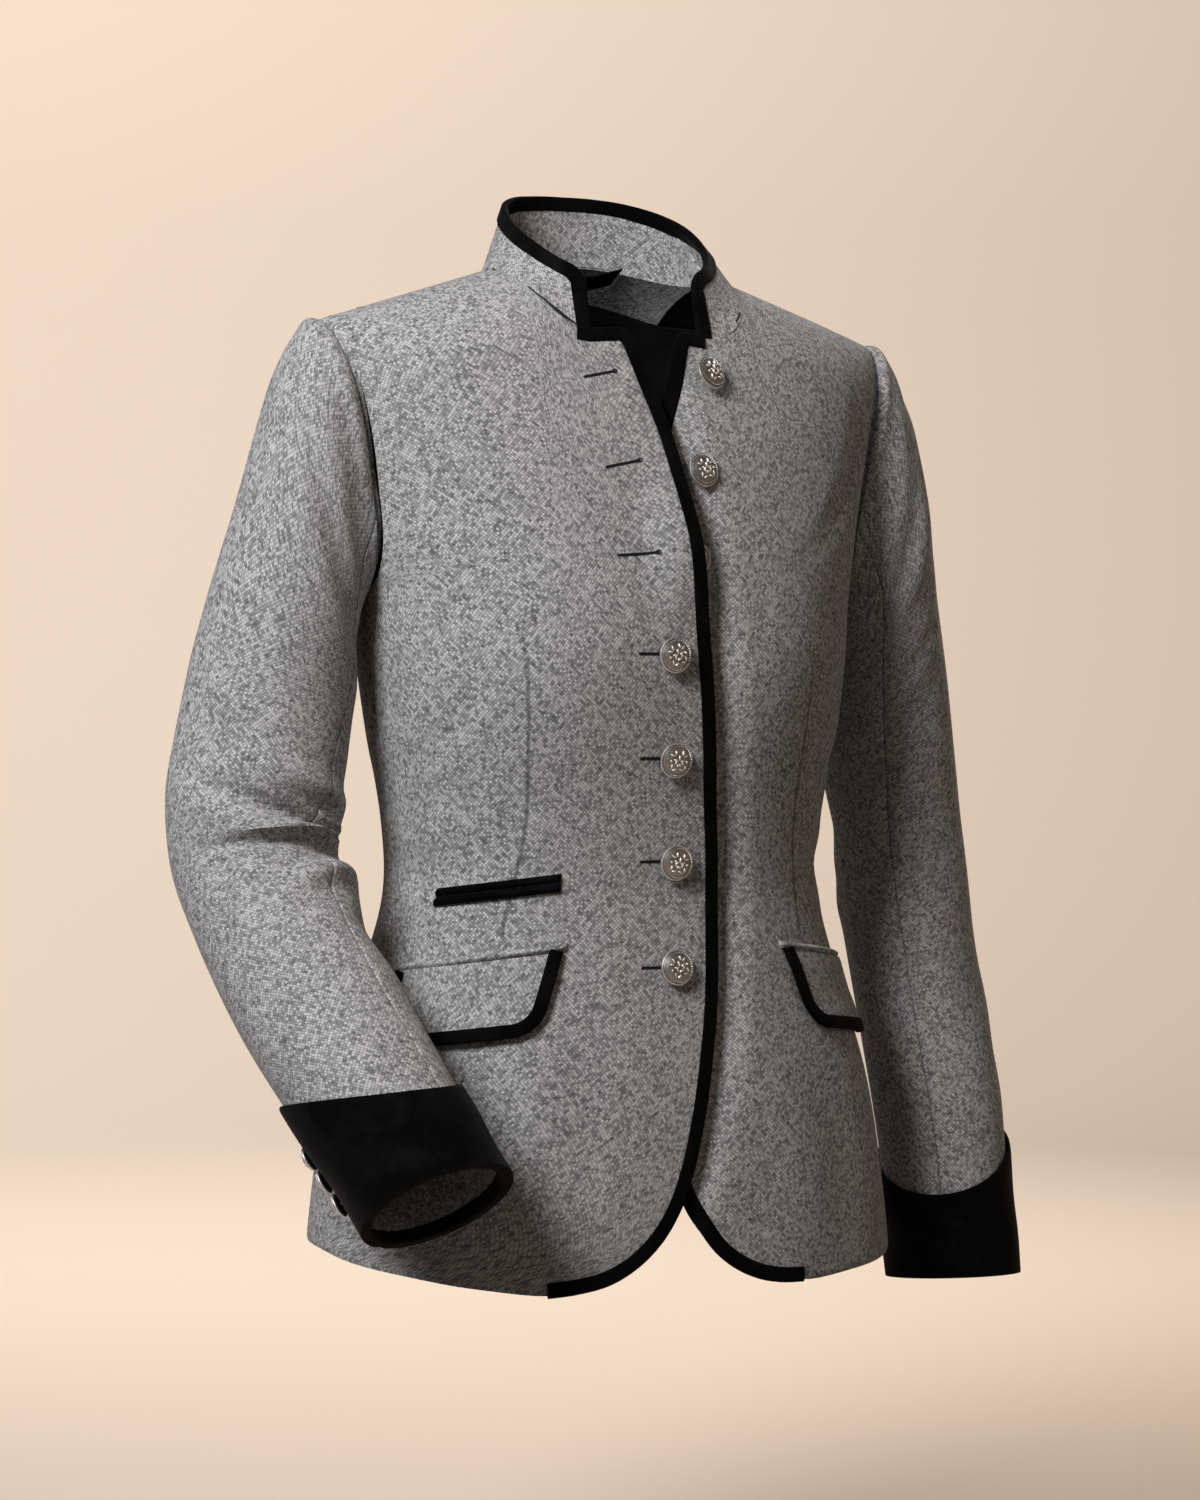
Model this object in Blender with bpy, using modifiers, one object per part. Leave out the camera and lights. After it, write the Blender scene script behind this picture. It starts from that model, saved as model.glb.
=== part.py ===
"""Structured wool jacket with bound edges, worn shape, held at the shoulders.

Metres. The origin is the middle between the two neck-shoulder points. +Z is up, -Y is the front
and +X is the wearer's left.
"""
import math

import bpy
import bmesh
import numpy as np
from mathutils import Matrix, Vector

# Driving dimensions
WALL = 0.0016            # one layer of the wool with what backs it
DOUBLE = 0.0026          # the stand collar, two layers
VELVET = 0.0008          # the folded velvet of a binding
CUFF_WALL = 0.0020       # the turned-back cuff
BAND = 0.0078            # how far a binding reaches in from its edge
SEAM = 0.00030           # the gap left at each seam
FRONT_GAP = 0.0012       # how far outside the armhole's edge the sleeve starts, at the front
BACK_GAP = 0.0028        # the same at the back
NECK_X = 0.078           # half width of the neck at the shoulder
NECK_DROP = 0.009        # how far the neck points lie below the origin
NECK_POINT = 0.0795      # where the shoulder seam meets the collar
SHOULDER_X = 0.193       # half the cross shoulder
SHOULDER_DROP = 0.046    # how far the shoulder points lie below the origin
NECK_RISE = 0.027        # rise of the yoke at the centre back neck
ROOF = 0.050             # height over which the shoulder rounds over
POWER = 2.3              # squareness of the body section
UNDERARM = -0.212        # height of the underarm
FRONT_BUTTON = 0.0110    # radius of a front button
CUFF_BUTTON = 0.0078     # radius of a cuff button

# Body sections: height, half width, front depth, back depth
TORSO = (
    (-0.680, 0.198, 0.130, 0.118),
    (-0.600, 0.191, 0.126, 0.118),
    (-0.520, 0.178, 0.119, 0.114),
    (-0.450, 0.156, 0.109, 0.100),
    (-0.400, 0.143, 0.104, 0.090),
    (-0.350, 0.145, 0.108, 0.091),
    (-0.300, 0.154, 0.115, 0.097),
    (-0.255, 0.160, 0.119, 0.104),
    (-0.212, 0.164, 0.118, 0.110),
    (-0.185, 0.169, 0.115, 0.112),
    (-0.160, 0.174, 0.110, 0.113),
    (-0.130, 0.181, 0.103, 0.112),
    (-0.100, 0.189, 0.094, 0.109),
    (-0.070, 0.198, 0.083, 0.102),
    (-0.045, 0.208, 0.073, 0.096),
    (0.000, 0.215, 0.062, 0.082),
    (0.030, 0.218, 0.055, 0.074),
)

# Front edges: distance to the front's own side of the centre, height. Top corner to hem.
EDGE_RIGHT = (
    (0.0235, -0.0550),
    (0.0195, -0.0565),
    (0.0168, -0.0610),
    (0.0130, -0.0730),
    (0.0080, -0.0900),
    (0.0015, -0.1140),
    (-0.0035, -0.1450),
    (-0.0070, -0.1760),
    (-0.0125, -0.2310),
    (-0.0185, -0.2800),
    (-0.0250, -0.3400),
    (-0.0290, -0.3850),
    (-0.0280, -0.4300),
    (-0.0245, -0.4700),
    (-0.0190, -0.5000),
    (-0.0095, -0.5420),
    (-0.0010, -0.5700),
    (0.0080, -0.5900),
    (0.0200, -0.6070),
    (0.0345, -0.6200),
    (0.0540, -0.6305),
    (0.0740, -0.6350),
    (0.0920, -0.6368),
)
EDGE_LEFT = (
    (0.0245, -0.0550),
    (0.0215, -0.0560),
    (0.0180, -0.0600),
    (0.0130, -0.0680),
    (0.0050, -0.0850),
    (-0.0050, -0.1120),
    (-0.0110, -0.1450),
    (-0.0140, -0.1800),
    (-0.0170, -0.2300),
    (-0.0195, -0.2800),
    (-0.0220, -0.3400),
    (-0.0225, -0.3900),
    (-0.0220, -0.4400),
    (-0.0200, -0.4800),
    (-0.0160, -0.5200),
    (-0.0095, -0.5520),
    (0.0000, -0.5850),
    (0.0080, -0.6020),
    (0.0185, -0.6160),
    (0.0337, -0.6275),
    (0.0500, -0.6345),
    (0.0660, -0.6378),
    (0.0816, -0.6390),
)

# Armhole: height, distance from the centre at the front, at the back
ARMHOLE = (
    (-0.2120, 0.1640, 0.1640),
    (-0.2060, 0.1638, 0.1642),
    (-0.1940, 0.1640, 0.1652),
    (-0.1750, 0.1655, 0.1680),
    (-0.1500, 0.1690, 0.1725),
    (-0.1200, 0.1735, 0.1780),
    (-0.0950, 0.1785, 0.1825),
    (-0.0720, 0.1845, 0.1870),
    (-0.0560, 0.1895, 0.1905),
    (-0.0480, 0.1922, 0.1924),
    (-0.0460, 0.1930, 0.1930),
)

# Hem: turn in degrees from the centre front, height of the right half, of the left half
HEM = (
    (0.0, -0.6300, -0.6300),
    (10.0, -0.6340, -0.6345),
    (17.0, -0.6355, -0.6385),
    (27.0, -0.6370, -0.6400),
    (42.0, -0.6325, -0.6385),
    (60.0, -0.6260, -0.6365),
    (78.0, -0.6210, -0.6340),
    (90.0, -0.6180, -0.6320),
    (120.0, -0.6190, -0.6265),
    (150.0, -0.6210, -0.6235),
    (180.0, -0.6220, -0.6220),
)

# Sleeves. Along, outer x y z, inner x y z, half depth. The x counts to the sleeve's own side.
SLEEVE_RIGHT = (
    (0.00, 0.1930, 0.000, -0.0460, 0.1640, 0.000, -0.2120, 0.0500),
    (0.06, 0.2040, 0.000, -0.0520, 0.1660, 0.001, -0.2200, 0.0510),
    (0.14, 0.2180, 0.002, -0.0760, 0.1680, 0.002, -0.2310, 0.0520),
    (0.24, 0.2320, 0.005, -0.1200, 0.1690, 0.003, -0.2440, 0.0520),
    (0.34, 0.2440, 0.009, -0.1650, 0.1680, 0.004, -0.2580, 0.0510),
    (0.44, 0.2570, 0.015, -0.2100, 0.1680, 0.002, -0.2740, 0.0500),
    (0.54, 0.2690, 0.021, -0.2580, 0.1720, -0.002, -0.2930, 0.0495),
    (0.63, 0.2780, 0.024, -0.3030, 0.1790, -0.012, -0.3200, 0.0490),
    (0.70, 0.2840, 0.023, -0.3430, 0.1860, -0.018, -0.3480, 0.0485),
    (0.76, 0.2820, 0.016, -0.3860, 0.1890, -0.026, -0.3700, 0.0480),
    (0.82, 0.2740, -0.004, -0.4250, 0.1890, -0.0440, -0.3925, 0.0475),
    (0.90, 0.2630, -0.043, -0.4735, 0.1840, -0.0810, -0.4305, 0.0470),
    (1.00, 0.2475, -0.0895, -0.5210, 0.1715, -0.1265, -0.4790, 0.0455),
    (1.10, 0.2280, -0.1345, -0.5680, 0.1560, -0.1670, -0.5310, 0.0440),
    (1.14, 0.2210, -0.1520, -0.5875, 0.1500, -0.1835, -0.5515, 0.0435),
)
SLEEVE_LEFT = (
    (0.00, 0.1930, 0.000, -0.0460, 0.1640, 0.000, -0.2120, 0.0500),
    (0.06, 0.2035, 0.000, -0.0520, 0.1660, 0.001, -0.2200, 0.0510),
    (0.14, 0.2150, 0.002, -0.0780, 0.1680, 0.002, -0.2310, 0.0520),
    (0.24, 0.2240, 0.006, -0.1200, 0.1700, 0.004, -0.2440, 0.0520),
    (0.34, 0.2350, 0.011, -0.1620, 0.1720, 0.008, -0.2580, 0.0510),
    (0.44, 0.2460, 0.016, -0.2060, 0.1760, 0.012, -0.2760, 0.0500),
    (0.54, 0.2590, 0.020, -0.2560, 0.1810, 0.016, -0.3000, 0.0485),
    (0.64, 0.2690, 0.022, -0.3150, 0.1860, 0.018, -0.3420, 0.0465),
    (0.72, 0.2760, 0.022, -0.3700, 0.1905, 0.018, -0.3860, 0.0450),
    (0.80, 0.2825, 0.020, -0.4250, 0.1960, 0.014, -0.4350, 0.0440),
    (0.90, 0.2920, 0.012, -0.4980, 0.2045, 0.006, -0.5020, 0.0430),
    (1.00, 0.2975, 0.004, -0.5710, 0.2125, -0.004, -0.5710, 0.0420),
    (1.13, 0.3000, -0.005, -0.6670, 0.2190, -0.014, -0.6650, 0.0415),
)
SLEEVE_END = {"right": 1.14, "left": 1.13}
UNIT_LENGTH = {"right": 0.667, "left": 0.717}
CUFF_HEIGHT = 0.080
CUFF_SLANT = 0.026
VENT = {"right": -26.0, "left": -70.0}

# Folds: along, turn in degrees, half height along, half turn, depth, slope per radian of turn
FOLDS_RIGHT = (
    (0.715, 140.0, 0.020, 60.0, 0.0100, 0.024),
    (0.770, 165.0, 0.020, 55.0, 0.0090, -0.006),
    (0.640, 70.0, 0.032, 45.0, 0.0028, 0.040),
    (0.200, 90.0, 0.040, 40.0, 0.0028, 0.050),
    (0.880, 200.0, 0.028, 50.0, 0.0032, 0.020),
)
FOLDS_LEFT = (
    (0.640, 165.0, 0.030, 50.0, 0.0036, 0.030),
    (0.720, 180.0, 0.030, 50.0, 0.0034, -0.020),
    (0.560, 120.0, 0.040, 40.0, 0.0022, 0.040),
    (0.200, 90.0, 0.040, 40.0, 0.0028, 0.050),
    (0.860, 60.0, 0.050, 40.0, 0.0018, 0.030),
)

# Collar: turn in degrees, base x, base z, rim x, rim y, rim z. Right front end round to the left.
COLLAR = (
    (-34.0, -0.0440, -0.0526, -0.0450, -0.0655, -0.0150),
    (-45.0, -0.0560, -0.0465, -0.0535, -0.0540, -0.0085),
    (-62.0, -0.0710, -0.0300, -0.0615, -0.0350, 0.0030),
    (-78.0, -0.0770, -0.0175, -0.0635, -0.0150, 0.0130),
    (-92.0, -0.0795, -0.0095, -0.0620, 0.0050, 0.0230),
    (-110.0, -0.0700, -0.0067, -0.0560, 0.0270, 0.0340),
    (-130.0, -0.0540, -0.0020, -0.0430, 0.0440, 0.0415),
    (-155.0, -0.0260, 0.0038, -0.0220, 0.0545, 0.0450),
    (-180.0, 0.0000, 0.0050, 0.0000, 0.0580, 0.0460),
    (-205.0, 0.0260, 0.0038, 0.0230, 0.0560, 0.0455),
    (-230.0, 0.0540, -0.0020, 0.0450, 0.0470, 0.0420),
    (-250.0, 0.0700, -0.0067, 0.0600, 0.0310, 0.0350),
    (-268.0, 0.0795, -0.0095, 0.0660, 0.0090, 0.0250),
    (-282.0, 0.0770, -0.0175, 0.0650, -0.0130, 0.0140),
    (-298.0, 0.0710, -0.0300, 0.0595, -0.0340, 0.0015),
    (-315.0, 0.0520, -0.0490, 0.0470, -0.0550, -0.0090),
    (-326.0, 0.0330, -0.0540, 0.0335, -0.0665, -0.0150),
)
COLLAR_CORNER = 0.008    # radius of the collar's front corners
DEGREE = 0.00112         # length of the rim over one degree

# Front buttons: x, height, lean to the left in degrees, which front, lower end of the shank
BUTTONS = (
    (0.0300, -0.0793, 18.0, "left", -0.0009),
    (0.0180, -0.1388, 8.0, "left", 0.0005),
    (0.0083, -0.1925, 0.0, "left", 0.0009),
    (-0.0109, -0.2522, 0.0, "right", 0.0005),
    (-0.0061, -0.3155, 0.0, "right", 0.0005),
    (-0.0013, -0.3788, 0.0, "right", 0.0005),
    (-0.0025, -0.4436, 0.0, "right", 0.0005),
)

# Flap outline in its own plane: along from the front end, down. Metres.
FLAP_WALL = 0.0016
FLAP_OUT = 0.0044
FLAP_LENGTH = 0.122
FLAP_HEIGHT = 0.048
FLAP_LEAN = 0.010
FLAP_RADIUS = 0.014
FLAP_TOP = {"right": (0.0745, -0.4325, -0.0140), "left": (0.0815, -0.4360, -0.0150)}
WELT_TOP = (0.0755, -0.3850, -0.0125)
WELT_LENGTH = 0.092
WELT_HEIGHT = 0.0052

LOOKS = {
    "wool": (0.23, 0.23, 0.23),
    "velvet": (0.012, 0.011, 0.012),
    "metal": (0.55, 0.53, 0.50),
    "lining": (0.05, 0.05, 0.055),
}
SIGN = {"right": -1.0, "left": 1.0}


def table(rows, column, at):
    """Reads one column of a table at a place along its first column, smooth between the rows."""
    grid = np.array([[float(value) for value in row] for row in rows])
    if grid[0, 0] > grid[-1, 0]:
        grid = grid[::-1]
    x = grid[:, 0]
    y = grid[:, column]
    slope = np.gradient(y, x)
    at = np.clip(np.asarray(at, float), x[0], x[-1])
    i = np.clip(np.searchsorted(x, at) - 1, 0, len(x) - 2)
    h = x[i + 1] - x[i]
    t = (at - x[i]) / h
    low = (1 + 2 * t) * (1 - t) ** 2 * y[i] + t * (1 - t) ** 2 * h * slope[i]
    high = t * t * (3 - 2 * t) * y[i + 1] + t * t * (t - 1) * h * slope[i + 1]
    return low + high


def shoulder_z(x):
    """Height of the shoulder line, and of the yoke between the necks, at a distance from the centre."""
    x = np.abs(x)
    slope = (NECK_DROP - SHOULDER_DROP) * (x - NECK_X) / (SHOULDER_X - NECK_X) - NECK_DROP
    yoke = NECK_RISE * (1 - np.minimum(x / NECK_X, 1) ** 2) - NECK_DROP
    return np.where(x > NECK_X, slope, yoke)


def bare(turn, z):
    """The body's outer surface at a turn from the centre front and a height."""
    s = np.sin(turn)
    front = np.cos(turn) > 0
    w = table(TORSO, 1, z)
    d = np.where(front, table(TORSO, 2, z), table(TORSO, 3, z))
    x = w * s
    y = d * np.maximum(1 - np.abs(s) ** POWER, 0) ** (1 / POWER)
    bust = 0.007 * np.exp(-((np.abs(x) - 0.080) ** 2 + (z + 0.262) ** 2) / (2 * 0.042 ** 2))
    y = y + np.where(front, bust, 0)
    lift = np.clip((shoulder_z(x) - z) / ROOF, 0, 1)
    y = np.where(front, -y, y) * np.sqrt(1 - (1 - lift) ** 2)
    return np.stack([x, y, z + 0 * x], -1)


def unit(vectors):
    """Scales vectors to length one."""
    return vectors / np.maximum(np.linalg.norm(vectors, axis=-1, keepdims=True), 1e-12)


def body(turn, z, out=0.0):
    """A point of the body's surface moved out along its normal."""
    turn = np.asarray(turn, float)
    z = np.asarray(z, float)
    step = 2e-4
    across = bare(turn + 10 * step, z) - bare(turn - 10 * step, z)
    up = bare(turn, z + step) - bare(turn, z - step)
    normal = unit(np.cross(across, up))
    return bare(turn, z) + normal * np.asarray(out)[..., None]


def turn_of(x, z, face="front"):
    """The turn at which the body has an x at a height."""
    share = np.clip(np.asarray(x) / table(TORSO, 1, z), -1, 1)
    turn = np.arcsin(share)
    if face == "back":
        turn = np.where(share < 0, -math.pi - turn, math.pi - turn)
    return turn


def along_line(points, count, ends=(0.0, 1.0)):
    """Evenly spaced points of a line, by its length."""
    points = np.asarray(points, float)
    run = np.concatenate([[0], np.cumsum(np.linalg.norm(np.diff(points, axis=0), axis=1))])
    at = np.linspace(ends[0], ends[1], count) * run[-1]
    return np.stack([np.interp(at, run, points[:, k]) for k in range(points.shape[1])], -1)


def rounded(rows, parts=6):
    """A smooth line through the rows of a table of points."""
    points = np.array(rows, float)
    run = np.concatenate([[0], np.cumsum(np.linalg.norm(np.diff(points, axis=0), axis=1))])
    keyed = [(run[i],) + tuple(points[i]) for i in range(len(points))]
    at = np.linspace(0, run[-1], (len(points) - 1) * parts + 1)
    return np.stack([table(keyed, k + 1, at) for k in range(points.shape[1])], -1)


def patch(left, right, bottom, top, shares=None):
    """Fills the area inside four lines: rows run from the bottom line to the top line."""
    shares = np.linspace(0, 1, len(bottom)) if shares is None else np.array(shares)
    u = shares[None, :, None]
    v = ((right[:, 1] - right[0, 1]) / (right[-1, 1] - right[0, 1]))[:, None, None]
    ends = (1 - v) * bottom[None] + v * top[None]
    bend_left = left[:, None] - (1 - v) * bottom[0] - v * top[0]
    bend_right = right[:, None] - (1 - v) * bottom[-1] - v * top[-1]
    return ends + (1 - u) ** 6 * bend_left + u ** 2 * bend_right


def look(kind, name):
    """One plain material for one node."""
    material = bpy.data.materials.new(name)
    material.use_nodes = True
    shader = material.node_tree.nodes["Principled BSDF"]
    shader.inputs["Base Color"].default_value = (*LOOKS[kind], 1.0)
    shader.inputs["Roughness"].default_value = 0.35 if kind == "metal" else 0.9
    shader.inputs["Metallic"].default_value = 1.0 if kind == "metal" else 0.0
    material.diffuse_color = (*LOOKS[kind], 1.0)
    return material


def apply_modifiers(thing):
    """Applies an object's modifiers in order."""
    bpy.ops.object.select_all(action="DESELECT")
    bpy.context.view_layer.objects.active = thing
    thing.select_set(True)
    for modifier in list(thing.modifiers):
        bpy.ops.object.modifier_apply(modifier=modifier.name)


def link(mesh, name, kind):
    """Makes the named object of a mesh, in the jacket's collection."""
    thing = bpy.data.objects.new(name, mesh)
    bpy.data.collections["structured_jacket"].objects.link(thing)
    mesh.materials.append(look(kind, name))
    return thing


def cloth(name, points, wall, kind, core=None, keep=None):
    """A wall of cloth whose outer face is a grid of points, thickened towards its core.

    The core is a point on the inner side for each point, at first the body's own axis. Where keep
    is front or back, no point crosses the seam plane between the two.
    """
    if core is None:
        core = points * np.array([0.0, 0.0, 1.0])
    across = points[:-1, 1:] - points[:-1, :-1]
    up = points[1:, :-1] - points[:-1, :-1]
    inward = core[:-1, :-1] - points[:-1, :-1]
    turned = np.sum(np.cross(across, up) * inward) > 0
    rows, columns = points.shape[:2]
    bm = bmesh.new()
    bmesh.ops.create_grid(bm, x_segments=columns - 1, y_segments=rows - 1, size=1.0)
    bm.verts.ensure_lookup_table()
    order = sorted(bm.verts, key=lambda vert: (round(vert.co.y, 5), round(vert.co.x, 5)))
    for vert, point in zip(order, points.reshape(-1, 3)):
        vert.co = Vector(point)
    if turned:
        bmesh.ops.reverse_faces(bm, faces=bm.faces)
    mesh = bpy.data.meshes.new(name)
    bm.to_mesh(mesh)
    bm.free()
    thing = link(mesh, name, kind)
    solid = thing.modifiers.new("wall", "SOLIDIFY")
    solid.thickness = wall
    solid.offset = -1.0
    solid.use_even_offset = True
    solid.thickness_clamp = 0.0
    apply_modifiers(thing)
    if keep == "front":
        for vert in thing.data.vertices:
            vert.co.y = min(vert.co.y, -SEAM / 2)
    if keep == "back":
        for vert in thing.data.vertices:
            vert.co.y = max(vert.co.y, SEAM / 2)
    return thing


def front_line(side):
    """The front edge as turn and height, from its top corner to the end of its binding."""
    rows = rounded(EDGE_RIGHT if side == "right" else EDGE_LEFT)
    x = SIGN[side] * rows[:, 0]
    return np.stack([turn_of(x, rows[:, 1]), rows[:, 1]], -1)


def edge_x(side, z):
    """Where the front edge is at a height, towards the front's own side."""
    rows = EDGE_RIGHT if side == "right" else EDGE_LEFT
    return table([(row[1], row[0]) for row in rows], 1, z)


def hem_z(turn):
    """Height of the hem at a turn."""
    column = np.where(np.asarray(turn) < 0, 1, 2)
    degrees = np.abs(np.degrees(turn))
    return np.where(column == 1, table(HEM, 1, degrees), table(HEM, 2, degrees))


def under_lap(turn, z):
    """How far the left front lies inside the body's surface, under the right front."""
    x = bare(turn, z)[..., 0]
    inside = np.clip((-edge_x("right", z) + 0.030 - x) / 0.026, 0, 1)
    return -0.0064 * inside * inside * (3 - 2 * inside)


def over_lap(turn, z):
    """How far the right front stands out where it lies over the third loose button."""
    x = bare(turn, z)[..., 0]
    near = np.clip((x + 0.030) / 0.027, 0, 1)
    near = near * near * (3 - 2 * near)
    return 0.0088 * near * np.exp(-((z + 0.1880) / 0.042) ** 2)


FRONT_COLUMNS = (0.0, 0.04, 0.08, 0.13, 0.19, 0.26, 0.34, 0.43, 0.52, 0.61, 0.70, 0.80, 0.90, 1.0)
FRONT_ROWS = (0.0, 0.05, 0.12, 0.19, 0.26, 0.34, 0.42, 0.50, 0.58, 0.66, 0.74, 0.82, 0.91, 1.0)
UPPER_ROWS = (0.10, 0.20, 0.32, 0.45, 0.58, 0.70, 0.80, 0.88, 0.94, 0.98, 1.0)


def side_line(side, face, hem):
    """The side seam and armhole of a panel, as turn and height."""
    sign = SIGN[side]
    side_turn = sign * (math.pi / 2 + (-0.0012 if face == "front" else 0.0012))
    low = [(side_turn, hem + share * (UNDERARM - hem)) for share in FRONT_ROWS]
    high = []
    for share in UPPER_ROWS:
        z = UNDERARM + share * (-SHOULDER_DROP - UNDERARM)
        x = sign * table(ARMHOLE, 1 if face == "front" else 2, z)
        turn = float(turn_of(x, z, face))
        high.append((turn, float(z)))
    return np.array(low + high)


def neck_line(side, face, count):
    """The neckline of a panel as turn and height, along the base of the collar."""
    ends = {"front": (COLLAR[0][0], -92.0), "back": (-180.0, -92.0)}
    if side == "left":
        ends = {"front": (COLLAR[-1][0], -268.0), "back": (-180.0, -268.0)}
    at = np.linspace(ends[face][0], ends[face][1], count)
    x = table(COLLAR, 1, at)
    z = table(COLLAR, 2, at)
    return np.stack([turn_of(x, z, face), z], -1)


def front_grid(side, columns=14):
    """The outer face of one front as turn and height."""
    sign = SIGN[side]
    hem_side = float(hem_z(sign * math.pi / 2))
    right = side_line(side, "front", hem_side)
    edge = front_line(side)
    corner = -0.6200 if side == "right" else -0.6275
    top = edge[0, 1]
    own = edge[edge[:, 1] > corner - 1e-6]
    share = (right[:, 1] - hem_side) / (-SHOULDER_DROP - hem_side)
    heights = corner + share * (top - corner)
    order = np.argsort(own[:, 1])
    left = np.stack([np.interp(heights, own[order, 1], own[order, 0]), heights], -1)
    left[-1] = edge[0]
    rest = edge[edge[:, 1] < corner]
    rest = rest[np.argsort(np.abs(rest[:, 0]))]
    start = left[0]
    on = np.concatenate([[start], rest])
    tail_turn = np.linspace(abs(edge[-1, 0]) + 0.03, math.pi / 2 - 0.0012, 12) * sign
    tail = np.stack([tail_turn, hem_z(tail_turn)], -1)
    bottom_near = along_line(on, 5)
    bottom = np.concatenate([bottom_near, along_line(np.concatenate([[edge[-1]], tail]), columns - 4)[1:]])
    bottom[-1] = right[0]
    neck = np.concatenate([edge[:1], neck_line(side, "front", 7)])
    x = np.linspace(NECK_POINT, SHOULDER_X, 12)
    roof = np.stack([turn_of(sign * x, shoulder_z(x)), shoulder_z(x)], -1)
    top_line = np.concatenate([neck, along_line(roof, columns - 7)[1:]])
    top_line[-1] = right[-1]
    return patch(left, right, bottom, top_line, FRONT_COLUMNS)


def front_points(side):
    """The outer face of one front in space."""
    grid = front_grid(side)
    lap = under_lap if side == "left" else over_lap
    out = lap(grid[..., 0], grid[..., 1])
    points = body(grid[..., 0], grid[..., 1], out)
    points[-1, :, 1] -= SEAM / 2
    return points


def back_points(side, columns=11):
    """The outer face of one back in space, from the centre seam to the side."""
    sign = SIGN[side]
    hem_side = float(hem_z(sign * math.pi / 2))
    right = side_line(side, "back", hem_side)
    centre = sign * (math.pi - 0.0018)
    share = (right[:, 1] - hem_side) / (-SHOULDER_DROP - hem_side)
    low = float(hem_z(math.pi))
    heights = low + share * (COLLAR[8][2] - low)
    left = np.stack([np.full(len(heights), centre), heights], -1)
    turns = np.linspace(centre, sign * (math.pi / 2 + 0.0012), columns)
    bottom = np.stack([turns, hem_z(turns)], -1)
    neck = neck_line(side, "back", 6)
    neck[0, 0] = centre
    x = np.linspace(NECK_POINT, SHOULDER_X, 12)
    roof = np.stack([turn_of(sign * x, shoulder_z(x), "back"), shoulder_z(x)], -1)
    top_line = np.concatenate([neck, along_line(roof, columns - 5)[1:]])
    top_line[0] = left[-1]
    top_line[-1] = right[-1]
    grid = patch(left, right, bottom, top_line)
    points = body(grid[..., 0], grid[..., 1])
    points[-1, :, 1] += SEAM / 2
    return points


def armhole_loop(side, theta):
    """The armhole at an angle round it: nought is the shoulder point, a quarter is the front."""
    sign = SIGN[side]
    z = (UNDERARM - SHOULDER_DROP) / 2 + (UNDERARM + SHOULDER_DROP) / -2 * np.cos(theta)
    front = np.sin(theta) >= 0
    x_front = sign * table(ARMHOLE, 1, z)
    x_back = sign * table(ARMHOLE, 2, z)
    ahead = body(turn_of(x_front, z, "front"), z)
    behind = body(turn_of(x_back, z, "back"), z)
    points = np.where(front[..., None], ahead, behind)
    points[..., 0] += sign * np.where(front, FRONT_GAP, BACK_GAP)
    return points


def sleeve_point(side, along, theta, out=0.0):
    """A point of a sleeve: how far along it, the angle round it, and how far out of its face."""
    rows = SLEEVE_RIGHT if side == "right" else SLEEVE_LEFT
    sign = SIGN[side]
    along, theta, out = np.broadcast_arrays(
        np.asarray(along, float), np.asarray(theta, float), np.asarray(out, float))

    def ends(at):
        outer = np.stack([sign * table(rows, 1, at), table(rows, 2, at), table(rows, 3, at)], -1)
        inner = np.stack([sign * table(rows, 4, at), table(rows, 5, at), table(rows, 6, at)], -1)
        return outer, inner

    outer, inner = ends(along)
    ahead = np.add(*ends(along + 0.02)) / 2
    behind = np.add(*ends(along - 0.02)) / 2
    centre = (outer + inner) / 2
    half = (outer - inner) / 2
    deep = unit(np.cross(half, ahead - behind)) * -sign
    depth = table(rows, 7, along)[..., None]
    first_outer, first_inner = ends(np.zeros_like(along))
    first_half = (first_outer - first_inner) / 2
    forward = np.array([0.0, -1.0, 0.0])
    oval = (first_outer + first_inner) / 2 + first_half * np.cos(theta)[..., None]
    oval = oval + forward * table(rows, 7, 0 * along)[..., None] * np.sin(theta)[..., None]
    share = np.clip(1 - along / 0.24, 0, 1)[..., None]
    share = share * share * (3 - 2 * share)
    rest = (armhole_loop(side, theta) - oval) * share
    grow = out
    folds = FOLDS_RIGHT if side == "right" else FOLDS_LEFT
    for at, degrees, tall, wide, deepness, slope in folds:
        away = (theta - math.radians(degrees) + math.pi) % (2 * math.pi) - math.pi
        line = (along - at - slope * away) / tall
        spread_by = np.exp(-(away / math.radians(wide)) ** 2)
        ridge = np.exp(-line ** 2) - 0.55 * np.exp(-(line - 1.9) ** 2) - 0.55 * np.exp(-(line + 1.9) ** 2)
        grow = grow - deepness * spread_by * ridge
    outward = unit(half * np.cos(theta)[..., None] / np.sum(half ** 2, -1, keepdims=True) ** 0.5
                   + deep * np.sin(theta)[..., None])
    point = centre + half * np.cos(theta)[..., None] + deep * depth * np.sin(theta)[..., None]
    return point + rest + outward * grow[..., None]


def sleeve_core(side, along):
    """A point on the middle line of a sleeve."""
    rows = SLEEVE_RIGHT if side == "right" else SLEEVE_LEFT
    x = SIGN[side] * (table(rows, 1, along) + table(rows, 4, along)) / 2
    y = (table(rows, 2, along) + table(rows, 5, along)) / 2
    z = (table(rows, 3, along) + table(rows, 6, along)) / 2
    return np.stack([x, y, z], -1)


SLEEVE_ROWS = (0.0, 0.02, 0.05, 0.09, 0.14, 0.20, 0.27, 0.35, 0.43, 0.51, 0.58, 0.64, 0.68, 0.705,
               0.73, 0.755, 0.78, 0.81, 0.85, 0.90, 0.95, 1.00)


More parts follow.
